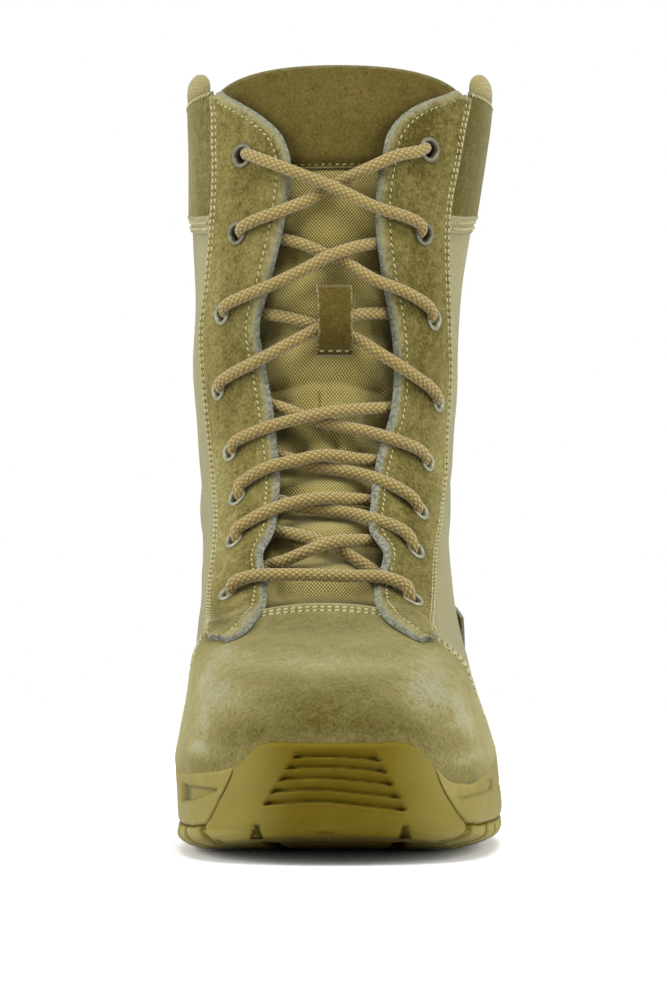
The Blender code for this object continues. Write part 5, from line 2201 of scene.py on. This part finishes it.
def smooth_curve(points, spacing):
    """Evenly spaced points on a centripetal curve through the given points, and its length."""
    points = np.asarray(points, float)
    ends = np.concatenate([[2 * points[0] - points[1]], points, [2 * points[-1] - points[-2]]])
    pieces = []
    for i in range(len(points) - 1):
        p = ends[i : i + 4]
        gaps = np.sqrt(np.linalg.norm(np.diff(p, axis=0), axis=1)) + 1e-9
        t = np.concatenate([[0], np.cumsum(gaps)])
        x = np.linspace(t[1], t[2], CURVE_STEPS, endpoint=False)[:, None]

        def between(k, last, first, second):
            return (t[last] - x) / (t[last] - t[k]) * first + (x - t[k]) / (t[last] - t[k]) * second

        a = [between(k, k + 1, p[k], p[k + 1]) for k in range(3)]
        b = [between(k, k + 2, a[k], a[k + 1]) for k in range(2)]
        pieces.append(between(1, 2, b[0], b[1]))
    dense = np.concatenate(pieces + [points[-1:]])
    reach = reaches(dense)
    places = np.linspace(0, reach[-1], max(int(reach[-1] / spacing), 2))
    return read_line(dense, reach, places), reach[-1]


def knot_points(knots):
    """Points in metres for knots of level, arc and lift."""
    level, arc, lift = np.array(knots, float).T
    return on_last(level, arc * MM, lift * MM)


route = lace_route()
lace_line, lace_length = smooth_curve(knot_points(route), LACE_STEP)
for relaxing in range(3):
    lace_line[1:-1] = 0.25 * lace_line[:-2] + 0.5 * lace_line[1:-1] + 0.25 * lace_line[2:]
rows = range(1, len(EYELETS))
holes = knot_points([eyelet_knots(row, side)[1] for row in rows for side in SIDE_NAMES])
nearest = np.min(np.linalg.norm(lace_line[:, None] - holes[None], axis=2), axis=1)
lace_radius = LACE_RADIUS * (1 - LACE_SQUEEZE * hump(nearest, SQUEEZE_REACH))
print("lace length (m):", round(lace_length, 3), "knots:", len(route))

# %% Sweep the lace
LACE_SIDES = 16
BRAID_TURNS = 7
BRAID_PITCH = 2.4 * MM


def frames_along(line):
    """Two directions across a line that turn as little as possible along it."""
    along = unit(np.gradient(line, axis=0))
    first = np.zeros_like(line)
    start = np.cross(along[0], (0.0, 0.0, 1.0))
    first[0] = start / np.linalg.norm(start)
    for i in range(1, len(line)):
        kept = first[i - 1] - along[i] * (first[i - 1] @ along[i])
        first[i] = kept / np.linalg.norm(kept)
    return first, np.cross(along, first)


def tube(name, line, radius, sides, turns, pitch):
    """A round tube along a line, with a UV map in braid turns around and braid pitches along."""
    first, second = frames_along(line)
    reach = reaches(line)

    def shape(u, v):
        place = np.rint(v * (len(line) - 1)).astype(int)
        turn = 2 * math.pi * u[:, None]
        out = first[place] * np.cos(turn) + second[place] * np.sin(turn)
        along = reach[place] / pitch
        braid = np.stack([turns * u + along, turns * u - along], axis=1)
        return line[place] + radius[place][:, None] * out, braid, None

    return grid_object(name, sides, len(line) - 1, shape, closed=True)


lace = tube("braided_lace", lace_line, lace_radius, LACE_SIDES, BRAID_TURNS, BRAID_PITCH)
mesh = bmesh.new()
mesh.from_mesh(lace.data)
bmesh.ops.holes_fill(mesh, edges=[edge for edge in mesh.edges if edge.is_boundary], sides=0)
bmesh.ops.recalc_face_normals(mesh, faces=mesh.faces)
mesh.to_mesh(lace.data)
mesh.free()
crossings = [f"lace_cross_{row}" for row in range(1, 8)]
finish_piece(lace, [LACE], crossings + ["lace_bar"])
print("lace faces:", len(lace.data.polygons))

# %% [markdown]
# ## Stitches
#
# Every seam is sewn with a cream thread. One stitch is a small bent capsule of about two dozen
# faces; a row is that shape repeated along a line on its piece, by arrays, and joined into one
# mesh. The stitches lean a little this way and that, and each is half sunk into the suede. Between
# them lie small dark discs, the painted shade of the needle holes.

# %% A stitch, and rows of stitches
STITCH_PITCH = 2.5 * MM
STITCH_LENGTH = 1.75 * MM
STITCH_RADIUS = 0.36 * MM
HOLE_SHADE_SIZE = (0.80 * MM, 0.33 * MM, 0.15 * MM)
STITCH_SIDES = 6
HOLE_SHADE_SIDES = 5
HOLE_SHADE_STATIONS = ((-0.5, 0.35, -0.30), (0.0, 1.0, 0.12), (0.5, 0.35, -0.30))
STITCH_STATIONS = (
    (-0.5, 0.35, -0.30),
    (-0.36, 0.85, -0.05),
    (0.0, 1.0, 0.12),
    (0.36, 0.85, -0.05),
    (0.5, 0.35, -0.30),
)


def stitch_shape(stations, sides):
    """Points (along, aside, out) in shares of length and radius, and the faces of one stitch."""
    points = []
    for along, wide, out in stations:
        for k in range(sides):
            turn = 2 * math.pi * k / sides
            points.append((along, wide * math.cos(turn), out + wide * math.sin(turn)))
    faces = []
    for ring in range(len(stations) - 1):
        for k in range(sides):
            a = ring * sides + k
            b = ring * sides + (k + 1) % sides
            faces.append((a, b, b + sides, a + sides))
    last = (len(stations) - 1) * sides
    faces.append(tuple(range(sides))[::-1])
    faces.append(tuple(range(last, last + sides)))
    return np.array(points), faces


def repeated(name, shape, faces, centres, along, out, sizes):
    """One mesh with a shape repeated at centres, turned to along and out; sizes is (n, 3)."""
    aside = unit(np.cross(out, along))
    out = np.cross(along, aside)
    axes = np.stack([along, aside, out], axis=1) * sizes[:, :, None]
    points = centres[:, None] + np.einsum("pk,nkc->npc", shape, axes)
    count = len(shape)
    data = bpy.data.meshes.new(name)
    firsts = range(0, len(centres) * count, count)
    joined = [tuple(first + corner for corner in face) for first in firsts for face in faces]
    data.from_pydata(points.reshape(-1, 3).tolist(), [], joined)
    obj = bpy.data.objects.new(name, data)
    bpy.context.scene.collection.objects.link(obj)
    return obj


def places_along(line, pitch):
    """Centres and directions at an even pitch along a dense line of points."""
    reach = reaches(line)
    count = max(int(reach[-1] / pitch), 1)
    at = (np.arange(count) + 0.5) * reach[-1] / count
    along = unit(read_line(line, reach, at + 0.4 * MM) - read_line(line, reach, at - 0.4 * MM))
    return read_line(line, reach, at), along, at / reach[-1]


STITCH = stitch_shape(STITCH_STATIONS, STITCH_SIDES)
HOLE_SHADE = stitch_shape(HOLE_SHADE_STATIONS, HOLE_SHADE_SIDES)
THREAD_RANDOM = np.random.default_rng(7)


def sew(rows, name, pitch=STITCH_PITCH, thickness=1.0):
    """Stitches along rows of (level, arc, lift) arrays, and dark discs of painted shade for the
    needle holes between them.
    """
    all_centres, all_along, all_out, holes = [], [], [], []
    for level, arc, lift in rows:
        line = on_last(level, arc, lift)
        centres, along, share = places_along(line, pitch)
        shares = np.linspace(0, 1, len(line))
        out = read_chart(CHART_OUT, np.interp(share, shares, level), np.interp(share, shares, arc))
        lean = THREAD_RANDOM.normal(0.30, 0.12, len(centres))[:, None]
        aside = np.cross(out, along)
        holes.append(centres + 0.5 * pitch * along)
        along = along * np.cos(lean) + aside * np.sin(lean)
        all_centres.append(centres)
        all_along.append(unit(along))
        all_out.append(out)
    centres = np.concatenate(all_centres)
    grown = THREAD_RANDOM.uniform(0.85, 1.12, (len(centres), 1))
    wide = STITCH_RADIUS * thickness
    sizes = grown * np.array([[STITCH_LENGTH * pitch / STITCH_PITCH, wide, wide]])
    along, out = np.concatenate(all_along), np.concatenate(all_out)
    thread = repeated(name, *STITCH, centres, along, out, sizes)
    finish_piece(thread, [THREAD])
    # Dark discs that paint the shade of the needle holes.
    sizes = 0 * sizes + np.array([HOLE_SHADE_SIZE])
    hole_shades_name = name.replace("stitches", "needle_holes")
    hole_shades = repeated(hole_shades_name, *HOLE_SHADE, np.concatenate(holes), along, out, sizes)
    finish_piece(hole_shades, [NEEDLE_HOLE_SHADE])


print("faces of one stitch:", len(STITCH[1]))

# %% [markdown]
# A row follows its piece at a set distance from an edge, so it lies in the shallow trench that the
# piece's own chart presses there.

# %% Rows on the facings, vamp, counter, panel, tongue and keeper
OUTER_ROWS = (1.1 * MM, 2.9 * MM)
VAMP_WING_ROW = 7.4 * MM


def row_in(chart, u, v, thickness, creased=True):
    """Levels, arcs and lifts on the top surface of a piece, at its own grid places."""
    level, arc, lift, _ = chart(u, v)
    return level, arc, lift + creased * relief(level, arc) + thickness


def v_below_top(chart, u, distance):
    """The grid places v that lie a distance below a piece's top edge."""
    rows = np.linspace(0, 1, 240)
    found = np.empty(len(u))
    for i, place in enumerate(u):
        level, arc, _, _ = chart(np.full(len(rows), place), rows)
        below = level_gap(level, level[-1], arc)
        found[i] = np.interp(-distance, -below, rows)
    return found


def facing_rows(side):
    """One row beside the throat and two beside the outer edge of a facing."""
    chart = facing_chart(side)
    v = np.linspace(0.02, 0.985, 400)
    level = chart(0 * v, v)[0]
    name = SIDE_NAMES[side]
    width = column(FACINGS, f"{name}_outer", level) - column(FACINGS, f"{name}_inner", level)
    width = width * MM
    rows = [row_in(chart, np.clip(INNER_SEAM / width, 0, 0.8), v, FACING_THICKNESS)]
    keep = width > 8 * MM
    for inset in OUTER_ROWS:
        u = np.clip(1 - inset / width, 0.2, 1)
        rows.append(row_in(chart, u[keep], v[keep], FACING_THICKNESS))
    return rows


def rows_below_top(chart, u, seams, thickness):
    """Rows at set distances below a piece's top edge."""
    return [row_in(chart, u, v_below_top(chart, u, seam), thickness) for seam in seams]


sew(facing_rows(-1) + facing_rows(1), "stitches_facings")

vamp_rows = rows_below_top(vamp_chart, np.linspace(0.04, 0.96, 300), VAMP_SEAMS, VAMP_THICKNESS)
u = np.linspace(0.715, 0.86, 60)
vamp_rows += rows_below_top(vamp_chart, u, [VAMP_WING_ROW], VAMP_THICKNESS)
sew(vamp_rows, "stitches_vamp", thickness=1.4)

u = np.linspace(0.004, 0.996, 300)
v = np.linspace(0.1, 0.9, 60)
counter_rows = rows_below_top(counter_chart, u, COUNTER_SEAMS, COUNTER_THICKNESS)
counter_rows.append(row_in(counter_chart, 0 * v + 0.008, v, COUNTER_THICKNESS))
sew(counter_rows, "stitches_counter")

hem_rows = [row_in(hem_chart, u, 0 * u + share, HEM_THICKNESS + 0.15 * MM) for share in HEM_ROWS]
sew(hem_rows, "stitches_collar_hem", thickness=1.5)
sew([row_in(panel_chart, u, 0 * u + 0.965, OVERLAY_THICKNESS)], "stitches_collar_panel")

u = np.linspace(0.03, 0.97, 200)
tongue_row = row_in(tongue_panel_chart, u, 0 * u + 0.035, TONGUE_PANEL_THICKNESS, creased=False)
sew([tongue_row], "stitches_tongue", thickness=0.8)

u = np.linspace(0.04, 0.96, 24)
top = KEEPER_THICKNESS + 0.2 * MM
keeper_row = row_in(keeper_chart, u, 0 * u + KEEPER_SEAM, top, creased=False)
sew([keeper_row], "stitches_keeper", pitch=2.7 * MM, thickness=2.0)
print("rows sewn on the facings, vamp, counter, panel, tongue and keeper")

# %% The strip down the back
STRIP_FOOT, STRIP_TOP = 6.95, 12.30
STRIP_HALF_WIDTH = 7.0 * MM
STRIP_LIFT = 0.25 * MM
STRIP_THICKNESS = 1.0 * MM
STRIP_GRID = (18, 120)
STRIP_SEAMS = (-5.2 * MM, -3.0 * MM, 3.0 * MM, 5.2 * MM)


def strip_chart(u, v):
    """A straight strip on the back line, u from its lateral edge to its medial edge."""
    level = STRIP_FOOT + (STRIP_TOP - STRIP_FOOT) * v
    aside = (2 * u - 1) * STRIP_HALF_WIDTH
    return level, girths(level)[1] + aside, STRIP_LIFT + 0 * u, STRIP_HALF_WIDTH - np.abs(aside)


strip = sheet_object("suede_back_strip", *STRIP_GRID, strip_chart)
give_wall(strip, STRIP_THICKNESS, rim=1, round_edge=0.35 * MM)
finish_piece(strip, [SUEDE, CUT_EDGE])
back_rows = []
level = np.linspace(7.2, 12.15, 120)
for seam in STRIP_SEAMS:
    arc = girths(level)[1] + seam
    back_rows.append((level, arc, relief(level, arc) + STRIP_THICKNESS + 0.3 * MM))
sew(back_rows, "stitches_back")
print("back strip sewn")

# %% [markdown]
# ## Loose fibres
#
# Cut suede frays: short pale hairs stand along the raw edges of the facings and where the vamp
# meets the rubber. Each is a thin three-sided spike of a few faces, leaning at random.

# %% Fibres
FIBRE_TURNS = (0.0, 2.1, 4.2)
FIBRE_ROOT = [(0, math.cos(turn), math.sin(turn)) for turn in FIBRE_TURNS]
FIBRE_BEND = [(0.6, 0.6 * aside, 0.35 + 0.6 * out) for _, aside, out in FIBRE_ROOT]
FIBRE = np.array(FIBRE_ROOT + FIBRE_BEND + [(1.0, 0, 0.8)])
FIBRE_FACES = [(0, 2, 1), (0, 1, 4, 3), (1, 2, 5, 4), (2, 0, 3, 5), (3, 4, 6), (4, 5, 6), (5, 3, 6)]
FIBRE_RANDOM = np.random.default_rng(23)


def fray(name, line, out, count, length, radius, material):
    """Hairs scattered along a line, leaning at random round the outward direction."""
    at = np.sort(FIBRE_RANDOM.uniform(0, len(line) - 1.001, count))
    i = at.astype(int)
    centres = line[i] + (line[i + 1] - line[i]) * (at - i)[:, None]
    centres += FIBRE_RANDOM.normal(0, 0.22 * MM, centres.shape)
    along = unit(out[i] + FIBRE_RANDOM.normal(0, 0.75, centres.shape))
    other = FIBRE_RANDOM.normal(0, 1, centres.shape)
    other = unit(other - along * np.sum(other * along, axis=1, keepdims=True))
    grown = FIBRE_RANDOM.uniform(0.4, 1.25, (count, 1))
    sizes = np.concatenate([grown * length, grown * 0 + radius, grown * 0 + radius], axis=1)
    hairs = repeated(name, FIBRE, FIBRE_FACES, centres, along, other, sizes)
    finish_piece(hairs, [material])


def make_hair(name, dark, pale):
    """Hairs between two colours."""
    material, tree, shader = new_material(name, roughness=0.8, specular=0.2, Sheen_Weight=0.3)
    share = noise(tree, object_place(tree), 700.0, 2.0, 0.6)
    wire(tree, shader, Base_Color=blend_colour(tree, share, dark, pale))
    return material


GREY_HAIR = make_hair("Hair of the cut edge", (0.085, 0.090, 0.065, 1), (0.30, 0.31, 0.24, 1))
PALE_HAIR = make_hair("Hair of the suede", (0.165, 0.140, 0.060, 1), (0.38, 0.35, 0.21, 1))

FOOT_POINTS = 80
THROAT_POINTS = 600
u = np.concatenate([np.linspace(1.0, 0.0, FOOT_POINTS), np.zeros(THROAT_POINTS)])
v = np.concatenate([np.zeros(FOOT_POINTS), np.linspace(0.0, 1.0, THROAT_POINTS)])
for side, name in SIDE_NAMES.items():
    level, arc, lift, _ = facing_chart(side)(u, v)
    edge_line = on_last(level, arc, lift + relief(level, arc) + 0.6 * FACING_THICKNESS)
    throatwards = on_last(level, arc - side * MM) - on_last(level, arc)
    out = read_chart(CHART_OUT, level, arc) + 0.9 * throatwards / MM
    fray(f"frayed_edge_{name}", edge_line, out, 1300, 1.0 * MM, 0.055 * MM, GREY_HAIR)

run = np.linspace(0.055, 0.42, 400)
for side, name in SIDE_NAMES.items():
    foot_line = wall_points(run, side + 0 * run, 1 + 0 * run, "midsole")[0]
    foot_line = foot_line + np.array([0, 0, 0.3 * MM])
    foot_out = np.column_stack([0.5 * unit(foot_line[:, :2]), np.full(len(run), 1.2)])
    fray(f"frayed_vamp_foot_{name}", foot_line, foot_out, 800, 1.1 * MM, 0.06 * MM, PALE_HAIR)
print("fibres ready")

# %% [markdown]
# ## Light, floor and camera
#
# Soft boxes stand at both sides and above, as in a small studio: they brighten the flanks and
# the top of the toe, and leave the front a little darker. The floor is a pale disc that fades
# out before its rim, so that no horizon shows behind the boot.

# %% World
EYE = Vector((-2.2, -1652.0, 118.5)) * MM
FOCAL_LENGTH = 167.5
WORLD_LIGHT = 0.34
WORLD_COLOUR = (1.0, 0.99, 0.97, 1)

world = bpy.data.worlds.new("Pale studio")
bpy.context.scene.world = world
world.use_nodes = True
tree = world.node_tree
seen = tree.nodes["Background"]
seen.inputs["Color"].default_value = (1, 1, 1, 1)
seen.inputs["Strength"].default_value = 1.0
lit = add_node(tree, "ShaderNodeBackground", [("Color", WORLD_COLOUR), ("Strength", WORLD_LIGHT)])
to_camera = tree.nodes.new("ShaderNodeLightPath").outputs["Is Camera Ray"]
shaders = [(0, to_camera), (1, lit.outputs[0]), (2, seen.outputs[0])]
mix = add_node(tree, "ShaderNodeMixShader", shaders)
tree.links.new(mix.outputs[0], tree.nodes["World Output"].inputs["Surface"])
bpy.context.scene.view_settings.view_transform = "Standard"
print("world light:", WORLD_LIGHT)

# %% Floor
FLOOR_RADIUS = 1.1
FLOOR_COLOUR = (0.88, 0.88, 0.87, 1)
mesh = bmesh.new()
bmesh.ops.create_circle(mesh, cap_ends=True, radius=FLOOR_RADIUS, segments=96)
floor = object_from("floor", mesh)
floor.location.z = -0.2 * MM
material, tree, shader = new_material("Pale floor", roughness=0.9, specular=0.1)
shader.inputs["Base Color"].default_value = FLOOR_COLOUR
place = [(0, object_place(tree))]
away = add_node(tree, "ShaderNodeVectorMath", place, operation="LENGTH").outputs["Value"]
wire(tree, shader, Alpha=ramp_between(tree, away, FLOOR_RADIUS * 0.97, 0.30))
floor.data.materials.append(material)
print("floor radius (m):", FLOOR_RADIUS)

# %% Soft boxes
LIGHTS = (
    ("name", "place", "aim_height", "width", "height", "power"),
    ("left box", (-0.95, -0.35, 0.45), 0.08, 0.6, 0.9, 14.0),
    ("right box", (0.95, -0.35, 0.45), 0.08, 0.6, 0.9, 13.0),
    ("top box", (0.05, -0.45, 1.15), 0.08, 0.6, 0.6, 13.0),
    ("back box", (0.0, 1.15, 0.75), 0.15, 1.4, 0.8, 8.0),
)
for name, place, aim_height, width, height, power in LIGHTS[1:]:
    data = bpy.data.lights.new(name, "AREA")
    data.shape = "RECTANGLE"
    data.size = width
    data.size_y = height
    data.energy = power
    lamp = bpy.data.objects.new(name, data)
    lamp.location = place
    towards = Vector((0, -0.05, aim_height)) - Vector(place)
    lamp.rotation_euler = towards.to_track_quat("-Z", "Y").to_euler()
    bpy.context.scene.collection.objects.link(lamp)
print("lights:", len(LIGHTS) - 1)

# %% Camera
camera_data = bpy.data.cameras.new("Camera")
camera_data.lens = FOCAL_LENGTH
camera_data.sensor_width = 36.0
camera = bpy.data.objects.new("Camera", camera_data)
camera.location = EYE
camera.rotation_euler = (math.pi / 2, 0, 0)
bpy.context.scene.collection.objects.link(camera)
bpy.context.scene.camera = camera
print("camera at:", tuple(round(value, 3) for value in EYE))

# %% Sizes and finish
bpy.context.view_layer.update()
triangles = 0
for obj in bpy.data.objects:
    if obj.type == "MESH" and not obj.hide_render:
        evaluated = obj.evaluated_get(bpy.context.evaluated_depsgraph_get())
        triangles += sum(len(face.vertices) - 2 for face in evaluated.data.polygons)
print("triangles in all:", triangles)
